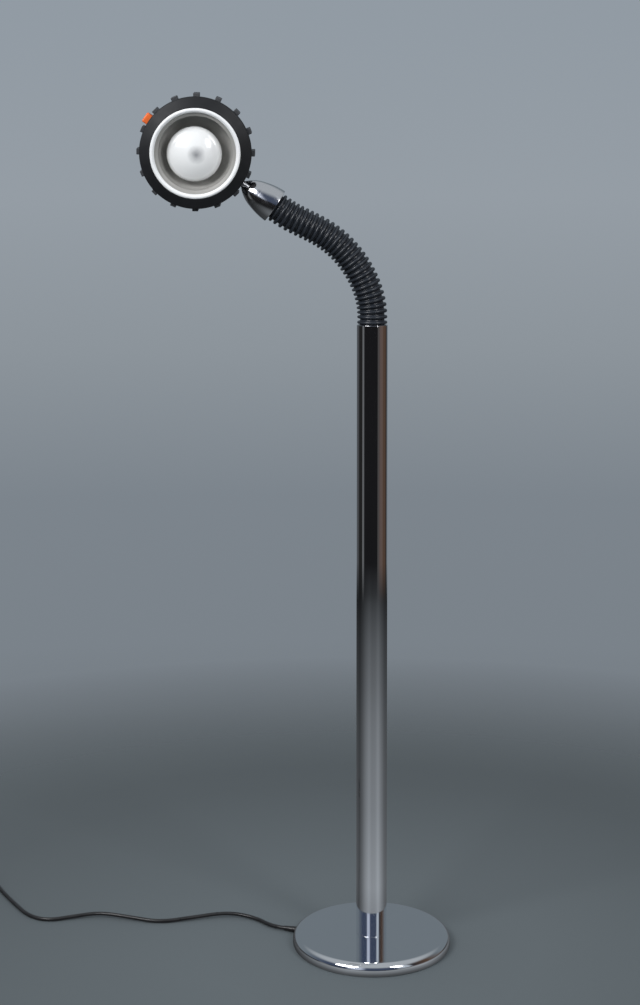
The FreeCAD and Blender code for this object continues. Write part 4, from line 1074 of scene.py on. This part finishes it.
@dataclass
class Head:
    """The round spotlight: casing with cogs, bezel, reflector, lamp and switch. Millimetres."""

    radius: float = 75.0
    wall: float = 2.5
    front: float = 20.5
    shoulder: float = -35.0
    rear: float = -92.0
    rear_radius: float = 42.0
    rear_opening: float = 30.0
    rear_rim: float = 4.0
    cogs: int = 16
    cog_radius: float = 84.5
    cog_width: float = 8.7
    cog_front: float = 11.6
    cog_length: float = 26.0
    ring_radius: float = 80.0
    ring_inner: float = 64.7
    ring_edge: float = 21.0
    ring_front: float = 30.8

    def casing(self) -> bpy.types.Object:
        """Make the casing: a drum with a domed back, a boss for the stem and the switch window."""
        across = self.radius - self.rear_radius
        down = self.shoulder - self.rear - self.rear_rim
        dome = (across**2 + down**2) / (2 * across)
        rear_bore = self.rear_radius - self.wall
        reach = rear_bore - self.radius + dome
        dome_end = self.shoulder - math.sqrt((dome - self.wall)**2 - reach**2)
        shell = turned("head_casing", [
            (self.radius - self.wall, self.front),
            (self.radius - self.wall, self.shoulder, self.wall - dome),
            (rear_bore, dome_end),
            (rear_bore, self.rear + self.wall),
            (self.rear_opening, self.rear + self.wall),
            (self.rear_opening, self.rear),
            (self.rear_radius, self.rear),
            (self.rear_radius, self.rear + self.rear_rim, dome),
            (self.radius, self.shoulder),
            (self.radius, self.front),
        ], HEAD, segments=192, soften=0.6, fineness=3.0)
        window = rounded_blocks("window", (24, 15.6, 14.6), 0.8, [HEAD.moved(-75, 0, 0)])
        shell = carved(shell, window)
        boss = turned("stem_boss", [(5.1, 71.5), (9.98, 71.5), (9.98, 75.5), (5.1, 75.5)],
                      HEAD.facing(np.array([1.0, 0.0, 0.0])), segments=48, soften=0.4)
        return joined([shell, boss], "head_casing")

    def cog_row(self) -> bpy.types.Object:
        """Make the cogs round the casing."""
        depth = self.cog_radius - self.radius + 1.5
        middle = self.cog_front - self.cog_length / 2
        stands = [HEAD.spun((i + 0.5) * 360 / self.cogs)
                  .moved(self.cog_radius - depth / 2, 0, middle) for i in range(self.cogs)]
        return rounded_blocks("head_cogs", (depth, self.cog_width, self.cog_length), 0.9, stands)

    def bezel(self) -> bpy.types.Object:
        """Make the black ring: a skirt round the casing and a shallow cone to the reflector."""
        skirt = self.radius + 0.3
        return turned("front_ring_black", [
            (skirt, 12.0),
            (self.ring_radius, 12.0),
            (self.ring_radius, self.ring_edge),
            (self.ring_inner, self.ring_front),
            (self.ring_inner, self.ring_front - 3.3),
            (self.radius - self.wall, self.ring_edge),
            (skirt, self.ring_edge - 0.3),
        ], HEAD, segments=224, soften=1.2)

    def rim(self) -> bpy.types.Object:
        """Make the reflector's bright rolled rim."""
        edge = self.ring_inner - 0.3
        return turned("reflector_rim", [
            (edge, 27.0),
            (edge, 30.2, 3.4),
            (edge - 5.8, 29.4),
            (edge - 6.4, 28.6),
            (edge - 5.0, 27.9),
        ], HEAD, segments=224, soften=0.4)

    def bowl(self) -> bpy.types.Object:
        """Make the deep bowl with the short step under its rim."""
        edge = self.ring_inner - 0.3
        return turned("reflector_bowl", [
            (edge - 6.2, 28.7),
            (edge - 8.0, 25.6),
            (edge - 11.2, 24.2, -146),
            (24, -58),
            (25, -58.5, 147),
            (edge - 10.2, 23.3),
            (edge - 7.2, 24.6),
            (edge - 5.4, 27.7),
        ], HEAD, segments=224, soften=0.5, fineness=2.0)

    def lamp(self) -> bpy.types.Object:
        """Make the reflector bulb: a domed face, a round shoulder and a flared back."""
        front, widest, level = 26.0, 39.6, 6.0
        corner, corner_level = widest - 6.6, front - 10.5
        dome = ((front - corner_level)**2 + corner**2) / (2 * (front - corner_level))
        return turned("bulb_opal", [
            (0, -60),
            (13.2, -60),
            (14.4, -44),
            (20, -32, 60),
            (widest, level, 11),
            (corner, corner_level, dome),
            (0, front),
        ], BULB, segments=192, soften=0.6, fineness=1.5)

    def rear_cover(self) -> bpy.types.Object:
        """Make the back cover with its cooling slots."""
        front = self.rear - 0.2
        back = front - 15.8
        cap = turned("rear_cover", [
            (35.5, front),
            (38, front),
            (38, back + 5, -5),
            (33, back),
            (0, back),
            (0, back + 2.5),
            (32, back + 2.5),
            (35.5, back + 6),
        ], HEAD, segments=128, soften=0.5)
        stands = [HEAD.spun(i * 30).moved(17, 0, back + 1) for i in range(12)]
        return carved(cap, rounded_blocks("vents", (14, 3.2, 12), 1.4, stands))

    def button(self) -> bpy.types.Object:
        """Make the orange push button: a rounded block on a flange and a round plunger."""
        head = rounded_blocks("switch_head", (17, 15, 14), 2.2, [HEAD.moved(-80, 0, 0)], 6)
        flange = rounded_blocks("switch_flange", (2, 18, 17), 0.4, [HEAD.moved(-70.5, 0, 0)])
        rod = turned("switch_rod", [(0, 63.5), (3.6, 63.5), (3.6, 69.8), (0, 69.8)],
                     HEAD.facing(np.array([-1.0, 0.0, 0.0])), segments=32, soften=0.3)
        return joined([head, flange, rod], "switch_button_orange")

    def spring(self) -> None:
        """Make the button's spring: a wire that climbs evenly round the push direction.

        A point of the wire is its middle line plus the wire's radius times the cosine outwards
        and the sine square to both the line and the outward direction.
        """
        seat, rise, mean, wire, turns = -63.55, 1.15, 3.0, 0.35, 4
        around = np.linspace(0, 2 * np.pi * turns, 24 * turns + 1)
        zero = np.zeros_like(around)
        outward = np.stack([zero, np.cos(around), np.sin(around)], -1)
        line = outward * mean
        line[:, 0] = seat + rise * around / (2 * np.pi)
        way = np.stack([zero + rise / (2 * np.pi), -mean * np.sin(around),
                        mean * np.cos(around)], -1)
        way = way / np.linalg.norm(way, axis=1)[:, None]
        square = np.cross(way, outward)
        section = np.arange(10) * 2 * np.pi / 10
        grid = line[:, None] + wire * (outward[:, None] * np.cos(section)[None, :, None]
                                       + square[:, None] * np.sin(section)[None, :, None])
        faces = grid_faces(len(line), len(section), False, True)
        spring = mesh_piece("switch_spring_wire", HEAD.points(grid), faces)
        dressed(spring, STEEL, "head", "switch_spring", ride=False)
        ends = HEAD.points(np.array([[seat + rise * turns, 0, 0], [seat, 0, 0]]))
        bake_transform(spring)

    def build(self) -> None:
        """Make the head's pieces and dress them."""
        dressed(self.casing(), CASE_BLACK, "head", "head_housing")
        dressed(self.cog_row(), COG_BLACK_PAINTED_LIGHT, "head")
        dressed(self.bezel(), RING_BLACK, "head", "front_ring")
        dressed(self.rim(), RIM_WHITE, "head")
        dressed(self.bowl(), BOWL, "head", "reflector")
        dressed(self.lamp(), OPAL, "head", "bulb_glass")
        dressed(self.rear_cover(), CASE_BLACK, "head", "rear_cap")
        dressed(self.button(), ORANGE, "button", "switch_button")
        self.spring()


@dataclass
class Lead:
    """The mains lead that lies free, its coil and its plug. Sizes in millimetres."""

    diameter: float = 5.6
    level: float = 4.8
    exit_reach: float = 136.3
    first_run: float = 20.0
    last_run: float = 64.0
    turns: float = 6.5
    inner_radius: float = 22.0
    pitch: float = 6.3
    layer_step: float = 6.15
    entry: tuple[float, float] = (-612.0, 246.0)
    heading: float = 117.0
    plug_thickness: float = 13.7
    points_per_turn: int = 16
    route: list[tuple[float, float, float]] = field(default_factory=lambda: [
        (-173.2, 81.6, 3.4),
        (-216.0, 92.5, 8.0),
        (-274.0, 80.0, 4.5),
        (-320.0, 67.5, 2.9),
        (-368.0, 80.5, 5.5),
        (-414.0, 92.0, 7.5),
        (-453.0, 86.0, 4.0),
        (-492.0, 73.5, 2.9),
        (-524.0, 92.0, 2.9),
        (-549.0, 131.0, 2.9),
    ])

    def coil(self, turn: Array, widen: float) -> Array:
        """Return the coil's points at these turns.

        The radius falls evenly to the middle turn and grows evenly after it. In the half turn
        round the middle the level climbs one layer along a smooth step.

        Args:
            turn: turns from the coil's start.
            widen: how much further out the points stand, as a share of the radius.

        Returns:
            Points in millimetres.
        """
        middle = self.turns / 2
        outer = self.inner_radius + middle * self.pitch
        heading = math.radians(self.heading)
        centre = np.array([self.entry[0] - math.sin(heading) * outer,
                           self.entry[1] + math.cos(heading) * outer])
        radius = (self.inner_radius + self.pitch * np.abs(turn - middle)) * (1 + widen)
        climb = np.clip((turn - middle) * 2 + 0.5, 0, 1)
        climb = climb * climb * (3 - 2 * climb)
        angle = heading - np.pi / 2 + 2 * np.pi * turn
        return np.stack([centre[0] + radius * np.cos(angle), centre[1] + radius * np.sin(angle),
                         self.diameter / 2 + 0.05 + self.layer_step * climb], -1)

    def control_points(self) -> Array:
        """Return the lead's route from the gland to the plug, in millimetres."""
        heading = math.radians(GLAND_HEADING)
        way = np.array([math.cos(heading), math.sin(heading), 0])
        start = way * self.exit_reach + [0, 0, self.level]
        rest = self.diameter / 2 + 0.05
        arrive = math.radians(self.heading)
        arrive = np.array([math.cos(arrive), math.sin(arrive), 0])
        entry = np.array([*self.entry, rest])
        corner = entry - arrive * (self.diameter + self.last_run)
        widen = 1 / (0.5 + 0.5 * math.cos(math.pi / self.points_per_turn)) - 1
        count = round(self.turns * self.points_per_turn)
        turns = (np.arange(count) + 0.5) / self.points_per_turn
        loops = self.coil(turns, widen)
        end, way_out = self.exit_of_coil()
        drop = np.array([0, 0, self.plug_thickness / 2 + 0.05 - end[2]])
        tail = [end + way_out * 2, end + way_out * 8, end + way_out * 30 + drop,
                end + way_out * 44 + drop]
        head = [start, start + way * self.first_run, *np.array(self.route), corner,
                entry - arrive * 4]
        return np.vstack([*[p[None] for p in head], loops, *[p[None] for p in tail]])

    def exit_of_coil(self) -> tuple[Array, Array]:
        """Return the coil's last point and the direction there."""
        ends = self.coil(np.array([self.turns - 1e-4, self.turns]), 0)
        way = ends[1] - ends[0]
        way[2] = 0
        return ends[1], way / np.linalg.norm(way)

    def cord(self) -> bpy.types.Object:
        """Make the lead as one smooth curve of its real thickness."""
        points = self.control_points() * MM
        curve = bpy.data.curves.new("mains_lead", "CURVE")
        curve.dimensions = "3D"
        spline = curve.splines.new("NURBS")
        spline.points.add(len(points) - 1)
        rows = np.hstack([points, np.ones((len(points), 1))])
        spline.points.foreach_set("co", rows.astype(np.float32).ravel())
        spline.order_u = 3
        spline.use_endpoint_u = True
        spline.resolution_u = 6
        curve.resolution_u = 6
        curve.bevel_depth = self.diameter / 2 * MM
        curve.bevel_resolution = 5
        curve.use_fill_caps = True
        piece = bpy.data.objects.new("mains_lead", curve)
        bpy.context.scene.collection.objects.link(piece)
        return piece

    def plug_stand(self) -> Stand:
        """Return the plug's stand: X runs from the lead to the pins."""
        end, way = self.exit_of_coil()
        origin = end + way * 44
        origin[2] = self.plug_thickness / 2 + 0.05
        across = np.array([-way[1], way[0], 0])
        return Stand(origin * MM, np.array([way, across, [0, 0, 1.0]]))

    def plug(self) -> bpy.types.Object:
        """Make the moulded plug as one skin over rounded sections.

        Each section is a rounded oblong: its width and thickness follow the distance from the
        lead, and its corners are a power curve, so that it goes from a round to a flat oblong.
        """
        along = np.array([0, 0.4, 2, 5, 6, 7, 10, 11, 12, 15, 16, 17, 19.5, 21, 24, 29, 36, 44, 51,
                          53, 53.8, 54])
        half = np.array([2.9, 3.5, 3.6, 3.85, 3.5, 3.95, 4.2, 3.8, 4.3, 4.6, 4.1, 4.8, 5.4, 8.2,
                         10.5, 13.5, 15.3, 16.6, 17.5, 17.4, 16.9, 16.2])
        thick = np.array([2.9, 3.5, 3.6, 3.85, 3.5, 3.95, 4.2, 3.8, 4.3, 4.6, 4.1, 4.8, 5.3, 5.9,
                          6.3, 6.7, 6.8, 6.8, 6.8, 6.7, 6.3, 5.6])
        power = 2 / np.interp(along, [0, 19, 26, 54], [2.0, 2.0, 3.2, 4.0])
        sides = 64
        angle = np.arange(sides) * 2 * np.pi / sides
        c, s = np.cos(angle)[None], np.sin(angle)[None]
        y = half[:, None] * np.sign(c) * np.abs(c) ** power[:, None]
        z = thick[:, None] * np.sign(s) * np.abs(s) ** power[:, None]
        grid = np.stack([np.broadcast_to(along[:, None], y.shape), y, z], -1)
        start, end = grid[:1] * 0, grid[-1:] * [1, 0, 0]
        grid = np.concatenate([start, grid, end])
        faces = grid_faces(len(grid), sides, False, True)
        return mesh_piece("plug_moulded", self.plug_stand().points(grid), faces)

    def pins(self) -> bpy.types.Object:
        """Make the plug's two pins with their rounded tips."""
        stand = self.plug_stand()
        both = []
        for side in (-1, 1):
            at = stand.moved(54, side * 9.3, 0).facing(np.array([1.0, 0.0, 0.0]))
            both.append(turned(f"plug_pin_{side + 1}", [(0, 0), (2.0, 0), (2.0, 19), (0, 19)], at,
                               segments=32, soften=1.2))
        return joined(both, "plug_pins_bright")

    def build(self) -> None:
        plug = dressed(self.plug(), LEAD_BLACK, "base", "plug_body")
        pins = dressed(self.pins(), PIN_METAL, "base", "plug_pins")
        cord = dressed(self.cord(), LEAD_BLACK, "base", "mains_lead_run", "mains_lead_coil")


@dataclass
class Studio:
    """The floor, the lights, the surroundings and the camera."""

    ground: Colour = (0.115, 0.137, 0.149)
    mottling: float = 0.96
    # painted shade: how dark the floor is painted far from the lamp, as a share of its tone
    painted_shade_share: float = 0.79
    floor_radius: float = 30.0
    # painted shade: the distances in metres over which the floor turns darker
    painted_shade_reach: tuple[float, float] = (0.25, 0.7)
    fade: tuple[float, float] = (0.8, 1.6)
    mirror_end: tuple[float, float] = (2.2, 2.7)
    focal_px: float = 1740.4
    frame_height_px: float = 1005.0
    eye: tuple[float, float, float] = (-0.076, -2.524, 1.105)
    pitch: float = 3.0
    drop_px: float = 215.2

    def camera(self) -> None:
        """Set the camera: the frame's long side is 36 mm of sensor, tilt and shift look down."""
        data = bpy.data.cameras.new("camera")
        data.sensor_width = 36.0
        data.lens = self.focal_px / self.frame_height_px * data.sensor_width
        data.shift_y = -self.drop_px / self.frame_height_px
        camera = bpy.data.objects.new("camera", data)
        camera.location = self.eye
        camera.rotation_euler = (math.radians(90 - self.pitch), 0, 0)
        bpy.context.scene.collection.objects.link(camera)
        bpy.context.scene.camera = camera

    def floor(self) -> None:
        """Lay the floor.

        It is painted darker away from the lamp, painted shade for the shadowed fold where floor and
        backdrop meet, and fades into the backdrop. Mirrors see instead a glowing painted reflection
        with painted shade by the disc's edge, which reaches further out.
        """
        angles = np.arange(64) * 2 * np.pi / 64
        rim = np.stack([np.cos(angles), np.sin(angles), 0 * angles], -1) * self.floor_radius
        mesh = bpy.data.meshes.new("floor")
        mesh.from_pydata(rim.tolist(), [], [list(range(64))])
        floor = bpy.data.objects.new("floor", mesh)
        bpy.context.scene.collection.objects.link(floor)
        shading = Shading("floor_paper", Pattern.OBJECT)
        mottled = tuple(self.mottling * c for c in self.ground)
        # painted shade: the floor's tone far from the lamp, where floor and backdrop meet in shadow
        far = tuple(self.painted_shade_share * c for c in self.ground)
        tone = shading.noise(shading.stretched((1, 1, 1)), 1.2, 3)
        away = shading.distance(shading.place, (0, 0, 0))
        colour = shading.blend(shading.spread(tone, 0, 1), self.ground, mottled)
        colour = shading.blend(shading.spread(away, 0, 1, *self.painted_shade_reach), colour, far)
        shading.set("Base Color", colour)
        shading.set("Roughness", 0.9)
        shading.set("Specular IOR Level", 0.2)
        path = shading.node("ShaderNodeLightPath").outputs
        faded = shading.maths("MULTIPLY", shading.spread(away, 0, 1, *self.fade),
                              path["Is Camera Ray"])
        hidden = shading.maths("MULTIPLY_ADD", shading.spread(away, 0, 1, *self.mirror_end),
                               path["Is Glossy Ray"], faded)
        # Mirrors see a glowing painted reflection of the floor, not the lit floor itself.
        lit = shading.either(path["Is Glossy Ray"], shading.shader.outputs[0],
                             self.painted_reflection(shading, away))
        clear = shading.node("ShaderNodeBsdfTransparent").outputs[0]
        shown = shading.either(hidden, lit, clear)
        shading.link(shown, shading.tree.nodes["Material Output"].inputs["Surface"])
        mesh.materials.append(shading.material)

    def painted_reflection(self, shading: Shading, away: Socket) -> Socket:
        """Return the floor's painted reflection: a glow toned by heading and distance, with painted shade at the
        disc.
        """
        # painted reflection: the floor's tone in mirrors by heading, darker to the sides and behind
        tones = [(-180, 0.13), (-139, 0.11), (-101, 0.082), (-72, 0.16), (-45, 0.28), (-21, 0.37),
                 (0, 0.31), (24, 0.32), (47, 0.4), (73, 0.27), (105, 0.155), (150, 0.12),
                 (180, 0.13)]
        # painted shade: a weak glow up to the disc's edge stands in for the shadow under it; further out the glow
        # falls away
        painted_shade_levels = [(0.0, 0.25), (0.118, 0.25), (0.138, 0.8), (0.25, 0.95), (0.6, 0.72),
                  (1.1, 0.57), (1.4, 0.44), (1.75, 0.33), (2.3, 0.12)]
        glow = shading.node("ShaderNodeEmission")
        shading.link(shading.toned(shading.heading(shading.place), math.radians(1), [
            (place, (0.93 * tone, tone, 1.07 * tone)) for place, tone in tones]),
            glow.inputs["Color"])
        shading.link(shading.toned(away, 1.0, [(place, (level,) * 3) for place, level in painted_shade_levels]),
                     glow.inputs["Strength"])
        return glow.outputs[0]

    def surroundings(self) -> None:
        """Light everything softly; mirrors see a dark room with a few pale and brown uprights.

        The heading, from the back by the left to the camera's side and on by the right, picks
        the room's tone: from one row of tones at eye level and below, and from another one
        higher up. The camera sees a plain backdrop whose tone follows the height.
        """
        world = bpy.data.worlds.new("studio")
        bpy.context.scene.world = world
        world.use_nodes = True
        world.node_tree.nodes.clear()
        nodes = Nodes(world.node_tree)
        way = nodes.node("ShaderNodeTexCoord").outputs["Generated"]
        rise, heading, degree = nodes.split(way)["Z"], nodes.heading(way), math.radians(1)
        grey, back = (0.17, 0.198, 0.222), (0.165, 0.195, 0.22)
        dark, brown, blue = (0.01, 0.01, 0.011), (0.085, 0.053, 0.038), (0.05, 0.067, 0.11)
        left_pale, right_pale = (0.5, 0.55, 0.66), (0.45, 0.5, 0.56)
        room = nodes.toned(heading, degree, [
            (-180, grey), (-166, grey), (-150, (0.078, 0.082, 0.09)),
            (-125, (0.07, 0.074, 0.08)), (-112, (0.018, 0.018, 0.018)),
            (-82, (0.016, 0.016, 0.016)), (-75, (0.16, 0.165, 0.17)), (-68, (0.13, 0.135, 0.14)),
            (-60, dark), (38, dark), (43, (0.075, 0.072, 0.07)), (52, (0.07, 0.062, 0.06)),
            (60, (0.11, 0.08, 0.072)), (80, (0.12, 0.085, 0.072)), (92, brown), (116, brown),
            (124, (0.02, 0.016, 0.014)), (134, (0.05, 0.045, 0.045)), (150, grey), (180, grey)])
        upper = nodes.toned(heading, degree, [
            (-180, back), (-120, back), (-70, blue), (-39, blue), (-30, left_pale),
            (-18, left_pale), (-9, blue), (34, blue), (41, right_pale), (53, right_pale),
            (60, (0.03, 0.03, 0.035)), (85, brown), (120, back), (180, back)])
        raised = nodes.blend(nodes.spread(rise, 0, 1, 0.06, 0.16, "SMOOTHSTEP"), room, upper)
        mirrored = nodes.blend(nodes.spread(rise, 0, 1, 0.5, 0.85, "SMOOTHSTEP"), raised,
                               (0.4, 0.43, 0.46))
        backdrop = nodes.toned(rise, 1.0, [
            (-0.45, (0.115, 0.137, 0.149)), (-0.33, (0.115, 0.137, 0.149)),
            (-0.285, (0.175, 0.2, 0.225)), (-0.25, (0.195, 0.224, 0.254)),
            (-0.17, (0.202, 0.232, 0.264)), (-0.087, (0.263, 0.296, 0.328)),
            (0.0, (0.3, 0.337, 0.376)), (0.1, (0.287, 0.328, 0.371))])
        path = nodes.node("ShaderNodeLightPath").outputs
        even = nodes.blend(path["Is Glossy Ray"], (0.62, 0.63, 0.65), mirrored)
        sky = nodes.node("ShaderNodeBackground")
        nodes.link(nodes.blend(path["Is Camera Ray"], even, backdrop), sky.inputs["Color"])
        out = nodes.node("ShaderNodeOutputWorld")
        nodes.link(sky.outputs[0], out.inputs["Surface"])

    def light(self, name: str, place: tuple[float, float, float],
              aim: tuple[float, float, float], size: tuple[float, float], watts: float) -> None:
        """Hang one soft lamp box and turn it to a point."""
        data = bpy.data.lights.new(name, "AREA")
        data.shape = "RECTANGLE"
        data.size, data.size_y = size
        data.energy = watts
        lamp = bpy.data.objects.new(name, data)
        lamp.location = place
        way = Vector(aim) - Vector(place)
        lamp.rotation_euler = way.to_track_quat("-Z", "Y").to_euler()
        bpy.context.scene.collection.objects.link(lamp)

    def build(self) -> None:
        """Set up the studio."""
        self.camera()
        self.floor()
        self.surroundings()
        self.light("key_box", (-1.9, -2.1, 2.5), (-0.1, 0, 0.8), (1.7, 1.3), 62.0)
        self.light("fill_box", (1.7, -2.1, 2.3), (-0.1, 0, 0.8), (0.7, 1.2), 24.0)
        bpy.context.scene.view_settings.view_transform = "Standard"


def dress_nodes() -> None:
    """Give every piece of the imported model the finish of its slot."""
    for node, piece in frame["nodes"].items():
        finish = FINISH_OF_SLOT[SLOT_OF[node]]
        piece.data.materials.clear()
        piece.data.materials.append(finish.material())


def main() -> None:
    """Build the lamp's looks in order."""
    logging.basicConfig(level=logging.INFO, format="%(name)s: %(message)s")
    Studio().build()
    dress_nodes()
    Lead().build()
    Base().build()
    Post().build()
    Sleeve().build()
    Bell().build()
    Head().build()


if __name__ == "__main__":
    main()
